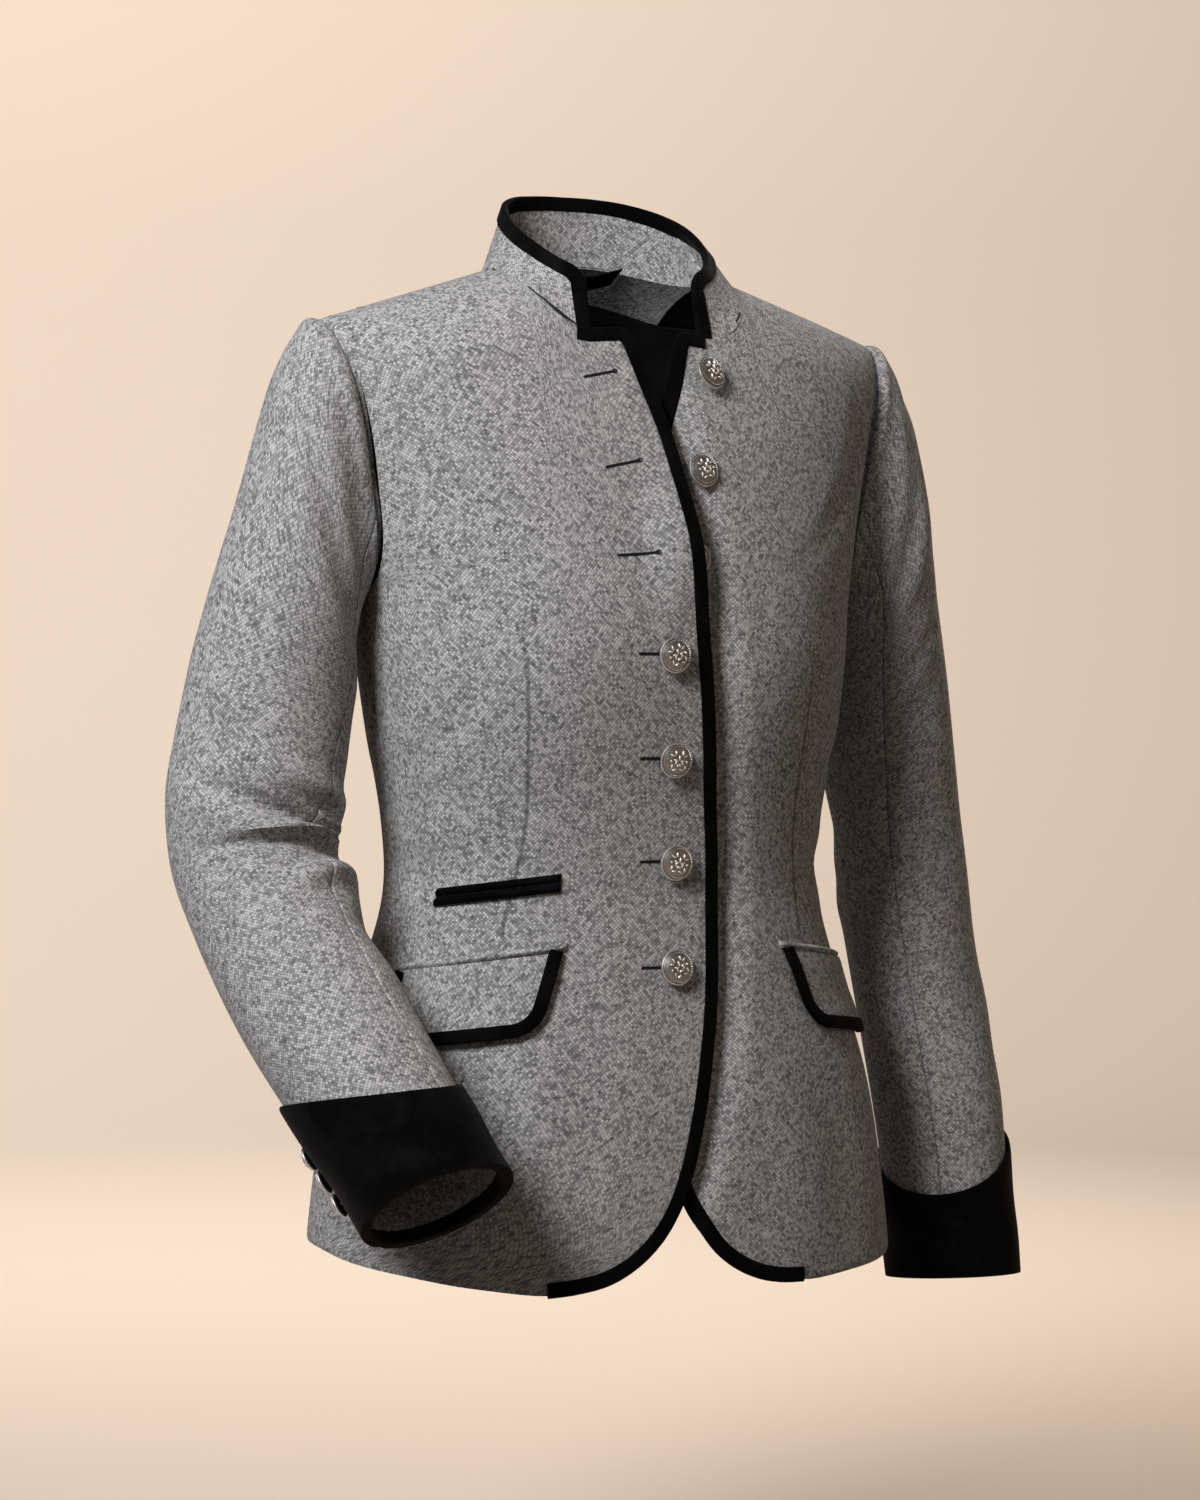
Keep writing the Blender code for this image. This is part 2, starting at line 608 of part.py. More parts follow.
def sleeve_panel(side, under, rows=SLEEVE_ROWS):
    """The outer face of a top or under sleeve in space."""
    end = SLEEVE_END[side] - 0.006
    along = np.array([row * end for row in rows])
    front_seam = np.interp(along, [0, 0.25, end], [118.0, 128.0, 132.0])
    back_seam = np.interp(along, [0, 0.25, end], [-112.0, -105.0, VENT[side] - 6.0])
    gap = 1.3
    if under:
        low = front_seam + gap
        high = back_seam + 360.0 - gap
        count = 9
    else:
        low = back_seam
        high = front_seam
        count = 15
    u = np.linspace(0, 1, count)
    theta = np.radians(low[:, None] + (high - low)[:, None] * u[None])
    along = along[:, None] + 0 * theta
    return sleeve_point(side, along, theta), sleeve_core(side, along)


def cuff_grid(side, along_share, degrees):
    """Where on the sleeve a point of the cuff lies: along it and the angle round it."""
    theta = np.radians(degrees)
    height = CUFF_HEIGHT + CUFF_SLANT * np.cos(theta + math.pi / 4)
    along = SLEEVE_END[side] - height * (1 - along_share) / UNIT_LENGTH[side]
    return along, theta


def cuff_points(side):
    """The outer face of a cuff, open at its vent at the back."""
    share = np.linspace(0, 1, 5)[:, None]
    degrees = np.linspace(VENT[side] + 2.0, VENT[side] + 358.0, 25)[None]
    along, theta = cuff_grid(side, share, degrees)
    flare = 0.0030 + 0.0012 * share
    return sleeve_point(side, along, theta, flare + 0 * theta), sleeve_core(side, along)


def collar_place(at, share, out=0.0):
    """A point of the collar's outer face: degrees round the neck and share of its height."""
    at, share, out = np.broadcast_arrays(
        np.asarray(at, float), np.asarray(share, float), np.asarray(out, float))

    def place(degrees, part):
        base_x = table(COLLAR, 1, degrees)
        base_z = table(COLLAR, 2, degrees)
        front = (degrees > -91.5) | (degrees < -268.5)
        ahead = turn_of(base_x, base_z, "front")
        behind = turn_of(base_x, base_z, "back")
        base = body(np.where(front, ahead, behind), base_z)
        rim = np.stack([table(COLLAR, k, degrees) for k in (3, 4, 5)], -1)
        base = base + unit(rim - base) * 0.0020
        return base + (rim - base) * part[..., None]

    across = place(at - 1.0, share) - place(at + 1.0, share)
    up = place(at, share + 0.05) - place(at, share - 0.05)
    normal = unit(np.cross(up, across))
    return place(at, share) + normal * out[..., None]


def collar_top(at):
    """How much of the collar's height stands at a place, less at its rounded front corners."""
    ends = (COLLAR[0][0], COLLAR[-1][0])
    from_end = np.minimum(ends[0] - at, at - ends[1]) * DEGREE
    near = np.clip(COLLAR_CORNER - from_end, 0, COLLAR_CORNER)
    cut = COLLAR_CORNER - np.sqrt(COLLAR_CORNER ** 2 - near ** 2)
    return 1 - cut / 0.038


def collar_stations(count):
    """Degrees round the neck, closer together at the two front ends."""
    first, last = COLLAR[0][0], COLLAR[-1][0]
    corner = COLLAR_CORNER / DEGREE
    start = first - corner * np.array([0.0, 0.12, 0.4, 1.0])
    end = last + corner * np.array([1.0, 0.4, 0.12, 0.0])
    return np.concatenate([start, np.linspace(start[-1], end[0], count)[1:-1], end])


def collar_points():
    """The outer face of the stand collar."""
    at = collar_stations(27)
    share = np.linspace(0, 1, 4)[:, None] * collar_top(at)[None]
    return collar_place(at[None], share)


def fold_profile(layer, reach=BAND, slack=0.0):
    """The folded velvet round an edge: distance in from the edge and out from the face."""
    high = 0.0007 + slack + VELVET
    low = -layer - 0.0012 - slack - VELVET
    return ((reach, high), (0.0001, high), (-0.0020, high - 0.0009),
            (-0.0020, low + 0.0009), (0.0001, low), (reach, low))


def over_body(turn, z, inward, distance):
    """Turn and height a distance away along the body's surface."""
    step = 1e-3
    across = (bare(turn + step, z) - bare(turn - step, z)) / (2 * step)
    up = (bare(turn, z + step) - bare(turn, z - step)) / (2 * step)
    a = np.sum(across * across, -1)
    b = np.sum(across * up, -1)
    c = np.sum(up * up, -1)
    p = np.sum(across * inward, -1) * distance
    q = np.sum(up * inward, -1) * distance
    size = a * c - b * b
    return turn + (c * p - b * q) / size, z + (a * q - b * p) / size


def body_binding(name, edge, out_of, layer, leftward, reach=BAND, slack=0.0):
    """A binding folded over an edge that lies over the body, given as turn and height."""
    turn, z = edge[:, 0], edge[:, 1]
    here = body(turn, z)
    normal = unit(body(turn, z, 0.001) - here)
    run = unit(np.gradient(here, axis=0))
    inward = unit(np.cross(run, normal)) * (-1.0 if leftward else 1.0)
    rows = []
    core = []
    for m, n in fold_profile(layer, reach, slack):
        at_turn, at_z = over_body(turn, z, inward, m)
        rows.append(body(at_turn, at_z, out_of(at_turn, at_z) + n))
        at_turn, at_z = over_body(turn, z, inward, min(max(m, 0.0025), reach))
        core.append(body(at_turn, at_z, out_of(at_turn, at_z) - layer / 2))
    cloth(name, np.stack(rows, 0), VELVET, "velvet", core=np.stack(core, 0))


def binding(name, here, lifted, layer, leftward, reach=BAND):
    """A binding folded over an edge, given as its stations and the same stations lifted."""
    normal = unit(lifted - here)
    run = unit(np.gradient(here, axis=0))
    inward = unit(np.cross(run, normal)) * (-1.0 if leftward else 1.0)
    rows = [here + inward * m + normal * n for m, n in fold_profile(layer, reach, 0.0005)]
    middle = here + inward * 0.0025 - normal * layer / 2
    far = here + inward * reach - normal * layer / 2
    core = np.stack([far] + [middle] * 4 + [far], 0)
    cloth(name, np.stack(rows, 0), VELVET, "velvet", core=core)


def front_binding(side):
    """The binding of a front edge, from its top corner round to the hem."""
    grid = front_grid(side)
    edge = np.concatenate([grid[::-1, 0], grid[0, 1:5]])
    lap = under_lap if side == "left" else over_lap
    body_binding("front_binding_" + side, edge, lap, WALL, side == "left", slack=0.0006)


def collar_binding():
    """The binding up one front end of the collar, round its rim and down the other."""
    at = collar_stations(27)
    top = collar_top(at)
    side_share = np.linspace(0.06, top[0], 5)[:-1]
    first = np.full(4, COLLAR[0][0])
    last = np.full(4, COLLAR[-1][0])
    path_at = np.concatenate([first, at, last])
    path_share = np.concatenate([side_share, top, side_share[::-1]])
    here = collar_place(path_at, path_share)
    lifted = collar_place(path_at, path_share, 0.001)
    binding("collar_binding", here, lifted, DOUBLE, True)


def pocket_turn(side, top, slope, along, down):
    """Turn and height over a front: along from a pocket's front end, down from its top line."""
    sign = SIGN[side]
    start = turn_of(sign * top[0], top[1])
    turn = start + sign * (along + FLAP_LEAN * down / FLAP_HEIGHT) / 0.150
    return turn, top[1] + slope * along / FLAP_LENGTH - down


def flap_out(turn, z):
    """How far out a flap's face lies."""
    return FLAP_OUT + 0 * turn + 0 * z


def flap_outline():
    """The flap's edge from its front end down, along and up again: along, down."""
    r = FLAP_RADIUS
    arc = np.radians(np.linspace(0, 90, 6))
    low = FLAP_HEIGHT - r
    first = [(0.0, 0.003), (0.0, 0.014), (0.0, 0.025)]
    near = [(r - r * math.cos(a), low + r * math.sin(a)) for a in arc]
    span = np.linspace(r, FLAP_LENGTH - r, 8)[1:-1]
    middle = [(float(a), FLAP_HEIGHT) for a in span]
    far = [(FLAP_LENGTH - r + r * math.sin(a), low + r * math.cos(a)) for a in arc]
    last = [(FLAP_LENGTH, 0.025), (FLAP_LENGTH, 0.014), (FLAP_LENGTH, 0.003)]
    return np.array(first + near + middle + far + last)


def flap(side):
    """One flap: its cloth, the binding on its three free edges and the jet above it."""
    top = FLAP_TOP[side][:2]
    slope = FLAP_TOP[side][2]
    r = FLAP_RADIUS
    down = FLAP_HEIGHT * np.array([0.0, 0.35, 0.70, 0.82, 0.91, 0.97, 1.0])
    below = np.clip(down - (FLAP_HEIGHT - r), 0, r)
    cut = r - np.sqrt(r * r - below ** 2)
    u = np.linspace(0, 1, 11)[None]
    along = cut[:, None] + u * (FLAP_LENGTH - 2 * cut[:, None])
    turn, z = pocket_turn(side, top, slope, along, down[:, None] + 0 * along)
    cloth("flap_" + side, body(turn, z, flap_out(turn, z)), FLAP_WALL, "wool")
    edge = flap_outline()
    turn, z = pocket_turn(side, top, slope, edge[:, 0], edge[:, 1])
    edge = np.stack([turn, z], -1)
    body_binding("flap_binding_" + side, edge, flap_out, FLAP_WALL, side == "left", reach=0.0066)
    strip("flap_jet_" + side, side, top, slope, FLAP_LENGTH, -0.0052, -0.0008, "wool")


def strip(name, side, top, slope, length, high, low, kind):
    """A narrow rounded strip sewn on a front, such as a jet or a welt."""
    v = np.linspace(0, 1, 4)[:, None]
    u = np.linspace(-0.004, length + 0.004, 13)[None]
    down = high + v * (low - high) + 0 * u
    out = 0.0019 + 0.0010 * np.sin(math.pi * v) + 0 * u
    turn, z = pocket_turn(side, top, slope, u + 0 * v, down)
    cloth(name, body(turn, z, out), 0.0009, kind)


def button(name, place, normal, radius, foot=0.0004):
    """A domed metal button on its shank, turned about its own axis. The foot is the shank's lower end."""
    k = radius / 0.011
    profile = ((0.0, foot / k), (0.0022, foot / k), (0.0022, 0.0030), (0.0100, 0.0034),
               (0.0110, 0.0048), (0.0098, 0.0058), (0.0060, 0.0077), (0.0, 0.0086))
    mesh = bpy.data.meshes.new(name)
    mesh.from_pydata([(r * k, 0.0, z * k) for r, z in profile], [(i, i + 1) for i in range(7)], [])
    thing = link(mesh, name, "metal")
    screw = thing.modifiers.new("turning", "SCREW")
    screw.axis = "Z"
    screw.angle = 2 * math.pi
    screw.steps = 10
    screw.render_steps = 10
    screw.use_merge_vertices = True
    screw.merge_threshold = 1e-5
    apply_modifiers(thing)
    bm = bmesh.new()
    bm.from_mesh(thing.data)
    bmesh.ops.remove_doubles(bm, verts=bm.verts, dist=1e-5)
    bmesh.ops.recalc_face_normals(bm, faces=bm.faces)
    turn = Vector((0, 0, 1)).rotation_difference(Vector(normal)).to_matrix().to_4x4()
    bmesh.ops.transform(bm, matrix=Matrix.Translation(Vector(place)) @ turn, verts=bm.verts)
    bm.to_mesh(thing.data)
    bm.free()
    return thing


def front_buttons():
    """The seven front buttons: three loose on the left front, four fastened through the right."""
    for index, (x, z, lean, side, foot) in enumerate(BUTTONS):
        turn = float(turn_of(x, z))
        lap = under_lap if side == "left" else over_lap
        out = float(lap(turn, z))
        place = body(turn, z, out)
        normal = unit(body(turn, z, out + 0.001) - place)
        angle = math.radians(lean)
        x_new = normal[0] * math.cos(angle) - normal[1] * math.sin(angle)
        y_new = normal[0] * math.sin(angle) + normal[1] * math.cos(angle)
        lift = FRONT_BUTTON * 0.55 * math.sin(angle)
        place = place + normal * lift
        button("button_" + str(index + 1), place, (x_new, y_new, normal[2]), FRONT_BUTTON, foot)


def cuff_buttons(side):
    """Three buttons in a row beside the vent of a cuff."""
    for index, share in enumerate((0.36, 0.53, 0.70)):
        along, theta = cuff_grid(side, share, VENT[side] + 13.0)
        flare = 0.0030 + 0.0012 * share
        place = sleeve_point(side, along, theta, flare)
        normal = unit(sleeve_point(side, along, theta, flare + 0.001) - place)
        button("cuff_button_" + side + "_" + str(index + 1), place, normal, CUFF_BUTTON)


def inside_neck():
    """The back neck facing, the part of the lining that shows below it, and the hanger loop."""
    for name, wide, high, low, kind in (
            ("back_neck_facing", 0.060, 0.0, -0.0300, "wool"),
            ("back_lining", 0.100, -0.0304, -0.1500, "lining")):
        x = np.linspace(-wide, wide, 12)[None]
        rise = [(row[1], row[2]) for row in COLLAR[4:13]]
        top = table(rise, 1, x) - 0.0010 if high == 0.0 else high + 0 * x
        v = np.linspace(0, 1, 5)[:, None]
        z = top + (low - top) * v
        points = body(turn_of(x + 0 * v, z, "back"), z, -WALL - 0.0022 + 0 * z)
        cloth(name, points, 0.0008, kind)
    x = np.linspace(-0.044, 0.044, 9)[None]
    v = np.linspace(0, 1, 3)[:, None]
    z = 0.0005 - 0.0085 * v - 0.0035 * np.cos(x / 0.044 * math.pi / 2) + 0.004 * np.abs(x / 0.06)
    sag = -WALL - 0.0035 - 0.0045 * np.cos(x / 0.044 * math.pi / 2)
    points = body(turn_of(x + 0 * v, z, "back"), z, sag + 0 * z)
    cloth("hanger_loop", points, 0.0010, "velvet")


def build():
    """Builds every node of the jacket."""
    for side in ("right", "left"):
        cloth("front_" + side, front_points(side), WALL, "wool", keep="front")
        cloth("back_" + side, back_points(side), WALL, "wool", keep="back")
        for name, under in (("_top", False), ("_under", True)):
            points, core = sleeve_panel(side, under)
            cloth("sleeve_" + side + name, points, WALL, "wool", core=core)
        points, core = cuff_points(side)
        cloth("cuff_" + side, points, CUFF_WALL, "velvet", core=core)
        front_binding(side)
        flap(side)
        cuff_buttons(side)
    cloth("collar", collar_points(), DOUBLE, "wool")
    collar_binding()
    for name, high in (("welt_upper", 0.0), ("welt_lower", WELT_HEIGHT + SEAM)):
        low = high + WELT_HEIGHT
        strip(name, "right", WELT_TOP[:2], WELT_TOP[2], WELT_LENGTH, high, low, "velvet")
    front_buttons()
    inside_neck()


for old in list(bpy.data.objects):
    bpy.data.objects.remove(old, do_unlink=True)
jacket = bpy.data.collections.new("structured_jacket")
bpy.context.scene.collection.children.link(jacket)
build()
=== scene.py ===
"""The looks of the structured jacket: melange wool, black velvet, antique metal and sewing.

Metres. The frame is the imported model's: +Z is up, -Y is the front and +X is the wearer's left.
"""
import logging
import math
from collections.abc import Callable
from dataclasses import dataclass, field
from enum import Enum

import bmesh
import bpy
import numpy as np
from mathutils import Matrix, Vector


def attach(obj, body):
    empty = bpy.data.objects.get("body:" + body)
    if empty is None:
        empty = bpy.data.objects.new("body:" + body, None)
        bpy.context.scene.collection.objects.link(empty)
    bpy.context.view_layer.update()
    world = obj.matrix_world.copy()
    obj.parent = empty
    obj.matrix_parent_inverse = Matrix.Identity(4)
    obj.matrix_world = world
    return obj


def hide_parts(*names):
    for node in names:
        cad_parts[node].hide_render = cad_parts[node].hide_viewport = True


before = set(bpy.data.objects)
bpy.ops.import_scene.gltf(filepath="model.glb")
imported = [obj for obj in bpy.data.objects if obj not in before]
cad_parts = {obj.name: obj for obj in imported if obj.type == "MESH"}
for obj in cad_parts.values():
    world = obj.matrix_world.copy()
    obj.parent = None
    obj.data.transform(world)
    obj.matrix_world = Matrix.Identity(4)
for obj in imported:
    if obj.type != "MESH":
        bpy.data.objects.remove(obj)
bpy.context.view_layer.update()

LOG = logging.getLogger("jacket")
Rows = tuple[tuple[float, ...], ...]
Array = np.ndarray
Triple = tuple[float, float, float]
Colour = tuple[float, float, float, float]
Thing = bpy.types.Object
Material = bpy.types.Material
Tree = bpy.types.NodeTree
Node = bpy.types.Node
Socket = bpy.types.NodeSocket

WALL = 0.0016            # one layer of the wool with what backs it
DOUBLE = 0.0026          # the stand collar, two layers
VELVET = 0.0008          # the folded velvet of a binding
BAND = 0.0078            # how far a binding reaches in from its edge
SEAM = 0.00008           # the gap left at each seam
NECK_X = 0.078           # half width of the neck at the shoulder
NECK_DROP = 0.009        # how far the neck points lie below the origin
NECK_POINT = 0.0795      # where the shoulder seam meets the collar
SHOULDER_X = 0.193       # half the cross shoulder
SHOULDER_DROP = 0.046    # how far the shoulder points lie below the origin
NECK_RISE = 0.027        # rise of the yoke at the centre back neck
ROOF = 0.050             # height over which the shoulder rounds over
POWER = 2.3              # squareness of the body section
UNDERARM = -0.212        # height of the underarm
FRONT_BUTTON = 0.0110    # radius of a front button
CUFF_BUTTON = 0.0078     # radius of a cuff button
MEAN_RADIUS = 0.150      # mean radius of the body, for lengths across it
LAP_UNDER = 0.0064       # how far the left front goes in under the right one
LAP_OVER = 0.0088        # how far the right front stands out over the third button
SIDE_TURN = 0.0003       # the turn from the side line to a panel's side seam
HEM_TURN = 0.0012        # the turn from the side line to the last point of a hem
CENTRE_TURN = 0.0004     # the turn from the centre back to its seam
LEAST_SIDE = 0.010       # the least side of a flat cut that can be declared
LEAST_FILL = 0.301       # the least share of its flat box that a cut can be declared with
# The bust: how far out it stands, its distance from the centre, its height and its reach
BUST_RISE, BUST_X, BUST_Z, BUST_REACH = 0.007, 0.080, -0.262, 0.042
# The turn of the cloth at a seam: depth and reach, wide and close
SEAM_TURNS: Rows = ((0.0004, 0.0040), (0.0007, 0.0009))
# Shares of a grid's last step at which a margin has its rows
MARGINS = (0.45, 0.70, 0.85, 0.94)

# Body sections: height, half width, front depth, back depth
TORSO: Rows = (
    (-0.680, 0.198, 0.130, 0.118),
    (-0.600, 0.191, 0.126, 0.118),
    (-0.520, 0.178, 0.119, 0.114),
    (-0.450, 0.156, 0.109, 0.100),
    (-0.400, 0.143, 0.104, 0.090),
    (-0.350, 0.145, 0.108, 0.091),
    (-0.300, 0.154, 0.115, 0.097),
    (-0.255, 0.160, 0.119, 0.104),
    (-0.212, 0.164, 0.118, 0.110),
    (-0.185, 0.169, 0.115, 0.112),
    (-0.160, 0.174, 0.110, 0.113),
    (-0.130, 0.181, 0.103, 0.112),
    (-0.100, 0.189, 0.094, 0.109),
    (-0.070, 0.198, 0.083, 0.102),
    (-0.045, 0.208, 0.073, 0.096),
    (0.000, 0.215, 0.062, 0.082),
    (0.030, 0.218, 0.055, 0.074),
)
# Front edges: distance to the front's own side of the centre, height. Top corner to hem.
EDGE_RIGHT: Rows = (
    (0.0245, -0.0512),
    (0.0205, -0.0524),
    (0.0170, -0.0562),
    (0.0138, -0.0670),
    (0.0080, -0.0900),
    (0.0015, -0.1140),
    (-0.0035, -0.1450),
    (-0.0070, -0.1760),
    (-0.0125, -0.2310),
    (-0.0185, -0.2800),
    (-0.0250, -0.3400),
    (-0.0290, -0.3850),
    (-0.0280, -0.4300),
    (-0.0245, -0.4700),
    (-0.0190, -0.5000),
    (-0.0095, -0.5420),
    (-0.0010, -0.5700),
    (0.0080, -0.5900),
    (0.0200, -0.6070),
    (0.0345, -0.6200),
    (0.0540, -0.6305),
    (0.0740, -0.6350),
    (0.0920, -0.6368),
)
EDGE_LEFT: Rows = (
    (0.0215, -0.0525),
    (0.0185, -0.0535),
    (0.0155, -0.0575),
    (0.0120, -0.0660),
    (0.0055, -0.0850),
    (-0.0040, -0.1120),
    (-0.0110, -0.1450),
    (-0.0140, -0.1800),
    (-0.0170, -0.2300),
    (-0.0195, -0.2800),
    (-0.0220, -0.3400),
    (-0.0225, -0.3900),
    (-0.0220, -0.4400),
    (-0.0200, -0.4800),
    (-0.0160, -0.5200),
    (-0.0095, -0.5520),
    (0.0000, -0.5850),
    (0.0080, -0.6020),
    (0.0185, -0.6160),
    (0.0337, -0.6275),
    (0.0500, -0.6345),
    (0.0660, -0.6378),
    (0.0816, -0.6390),
)
# Armhole: height, distance from the centre at the front, at the back
ARMHOLE: Rows = (
    (-0.2120, 0.1640, 0.1640),
    (-0.2060, 0.1638, 0.1642),
    (-0.1940, 0.1640, 0.1652),
    (-0.1750, 0.1655, 0.1680),
    (-0.1500, 0.1690, 0.1725),
    (-0.1200, 0.1735, 0.1780),
    (-0.0950, 0.1785, 0.1825),
    (-0.0720, 0.1845, 0.1870),
    (-0.0560, 0.1895, 0.1905),
    (-0.0480, 0.1922, 0.1924),
    (-0.0460, 0.1930, 0.1930),
)
# Hem: turn in degrees from the centre front, height of the right half, of the left half
HEM: Rows = (
    (0.0, -0.6300, -0.6300),
    (10.0, -0.6340, -0.6345),
    (17.0, -0.6355, -0.6385),
    (27.0, -0.6370, -0.6400),
    (42.0, -0.6325, -0.6385),
    (60.0, -0.6260, -0.6365),
    (78.0, -0.6210, -0.6340),
    (90.0, -0.6180, -0.6320),
    (120.0, -0.6190, -0.6265),
    (150.0, -0.6210, -0.6235),
    (180.0, -0.6220, -0.6220),
)
# Sleeves: along, outer x y z, inner x y z, half depth. The x counts to the sleeve's own side.
SLEEVE_RIGHT: Rows = (
    (0.00, 0.1930, 0.000, -0.0460, 0.1640, 0.000, -0.2120, 0.0500),
    (0.06, 0.2040, 0.000, -0.0520, 0.1660, 0.001, -0.2200, 0.0510),
    (0.14, 0.2180, 0.002, -0.0760, 0.1680, 0.002, -0.2310, 0.0520),
    (0.24, 0.2320, 0.005, -0.1200, 0.1690, 0.003, -0.2440, 0.0520),
    (0.34, 0.2440, 0.009, -0.1650, 0.1680, 0.004, -0.2580, 0.0510),
    (0.44, 0.2570, 0.015, -0.2100, 0.1680, 0.002, -0.2740, 0.0500),
    (0.54, 0.2690, 0.021, -0.2580, 0.1720, -0.002, -0.2930, 0.0495),
    (0.63, 0.2780, 0.024, -0.3030, 0.1790, -0.012, -0.3200, 0.0490),
    (0.70, 0.2840, 0.023, -0.3430, 0.1860, -0.018, -0.3480, 0.0485),
    (0.76, 0.2820, 0.016, -0.3860, 0.1890, -0.026, -0.3700, 0.0480),
    (0.82, 0.2740, -0.004, -0.4250, 0.1890, -0.0440, -0.3925, 0.0475),
    (0.90, 0.2630, -0.043, -0.4735, 0.1840, -0.0810, -0.4305, 0.0470),
    (1.00, 0.2475, -0.0895, -0.5210, 0.1715, -0.1265, -0.4790, 0.0455),
    (1.10, 0.2280, -0.1345, -0.5680, 0.1560, -0.1670, -0.5310, 0.0440),
    (1.14, 0.2210, -0.1520, -0.5875, 0.1500, -0.1835, -0.5515, 0.0435),
)
SLEEVE_LEFT: Rows = (
    (0.00, 0.1930, 0.000, -0.0460, 0.1640, 0.000, -0.2120, 0.0500),
    (0.06, 0.2035, 0.000, -0.0520, 0.1660, 0.001, -0.2200, 0.0510),
    (0.14, 0.2150, 0.002, -0.0780, 0.1680, 0.002, -0.2310, 0.0520),
    (0.24, 0.2240, 0.006, -0.1200, 0.1700, 0.004, -0.2440, 0.0520),
    (0.34, 0.2350, 0.011, -0.1620, 0.1720, 0.008, -0.2580, 0.0510),
    (0.44, 0.2460, 0.016, -0.2060, 0.1760, 0.012, -0.2760, 0.0500),
    (0.54, 0.2590, 0.020, -0.2560, 0.1810, 0.016, -0.3000, 0.0485),
    (0.64, 0.2690, 0.022, -0.3150, 0.1860, 0.018, -0.3420, 0.0465),
    (0.72, 0.2760, 0.022, -0.3700, 0.1905, 0.018, -0.3860, 0.0450),
    (0.80, 0.2825, 0.020, -0.4250, 0.1960, 0.014, -0.4350, 0.0440),
    (0.90, 0.2920, 0.012, -0.4980, 0.2045, 0.006, -0.5020, 0.0430),
    (1.00, 0.2975, 0.004, -0.5710, 0.2125, -0.004, -0.5710, 0.0420),
    (1.13, 0.3000, -0.005, -0.6670, 0.2190, -0.014, -0.6650, 0.0415),
)
# Folds of a sleeve: along, turn in degrees, half height along, half turn, depth, slope per radian
FOLDS_RIGHT: Rows = (
    (0.715, 140.0, 0.020, 60.0, 0.0100, 0.024),
    (0.770, 165.0, 0.020, 55.0, 0.0090, -0.006),
    (0.640, 70.0, 0.032, 45.0, 0.0028, 0.040),
    (0.200, 90.0, 0.040, 40.0, 0.0028, 0.050),
    (0.880, 200.0, 0.028, 50.0, 0.0032, 0.020),
)
FOLDS_LEFT: Rows = (
    (0.640, 165.0, 0.030, 50.0, 0.0036, 0.030),
    (0.720, 180.0, 0.030, 50.0, 0.0034, -0.020),
    (0.560, 120.0, 0.040, 40.0, 0.0022, 0.040),
    (0.200, 90.0, 0.040, 40.0, 0.0028, 0.050),
    (0.860, 60.0, 0.050, 40.0, 0.0018, 0.030),
)
# Fine creases of a sleeve, in the same columns as its folds
CREASES_RIGHT: Rows = (
    (0.716, 118.0, 0.0085, 46.0, 0.0062, 0.030),
    (0.762, 104.0, 0.0090, 36.0, 0.0048, 0.004),
    (0.742, 168.0, 0.0100, 26.0, 0.0070, 0.030),
    (0.690, 60.0, 0.012, 22.0, 0.0016, 0.060),
    (0.810, 120.0, 0.012, 34.0, 0.0022, -0.030),
    (0.835, 150.0, 0.012, 30.0, 0.0018, -0.030),
    (0.560, 60.0, 0.016, 30.0, 0.0012, 0.060),
    (0.950, 80.0, 0.020, 30.0, 0.0010, 0.030),
    (0.720, 250.0, 0.014, 40.0, 0.0018, -0.030),
    (0.790, 230.0, 0.014, 36.0, 0.0016, 0.020),
    (0.120, 35.0, 0.020, 26.0, 0.0009, 0.030),
    (0.330, 250.0, 0.022, 40.0, 0.0012, 0.050),
)
CREASES_LEFT: Rows = (
    (0.600, 190.0, 0.014, 34.0, 0.0016, 0.030),
    (0.680, 170.0, 0.012, 34.0, 0.0018, 0.010),
    (0.760, 190.0, 0.014, 34.0, 0.0014, -0.030),
    (0.450, 90.0, 0.022, 30.0, 0.0010, 0.050),
    (0.930, 40.0, 0.024, 30.0, 0.0009, 0.040),
    (0.340, 250.0, 0.022, 40.0, 0.0012, 0.050),
    (0.120, 35.0, 0.020, 26.0, 0.0009, 0.030),
)
# Soft folds of the body: turn in degrees, height, run across, run up, half width, half length, depth
BODY_FOLDS: Rows = (
    (-62.0, -0.300, 0.8, 0.6, 0.010, 0.060, 0.0016),
    (-70.0, -0.385, 1.0, 0.1, 0.012, 0.050, 0.0018),
    (-74.0, -0.430, 1.0, -0.2, 0.012, 0.050, 0.0014),
    (-52.0, -0.150, 0.5, -0.9, 0.010, 0.050, 0.0012),
    (-48.0, -0.560, 0.2, 1.0, 0.022, 0.080, 0.0022),
    (-20.0, -0.530, 0.1, 1.0, 0.018, 0.070, 0.0010),
    (60.0, -0.385, 1.0, -0.1, 0.012, 0.050, 0.0016),
    (66.0, -0.320, 0.8, -0.6, 0.010, 0.055, 0.0014),
    (50.0, -0.150, 0.5, 0.9, 0.010, 0.050, 0.0012),
    (40.0, -0.560, -0.1, 1.0, 0.022, 0.080, 0.0020),
    (150.0, -0.390, 1.0, 0.0, 0.012, 0.070, 0.0014),
    (-150.0, -0.395, 1.0, 0.1, 0.012, 0.070, 0.0014),
    (130.0, -0.190, 0.4, 1.0, 0.014, 0.070, 0.0014),
    (-130.0, -0.190, -0.4, 1.0, 0.014, 0.070, 0.0014),
    (160.0, -0.560, 0.1, 1.0, 0.022, 0.090, 0.0018),
    (-140.0, -0.560, -0.1, 1.0, 0.022, 0.090, 0.0018),
)
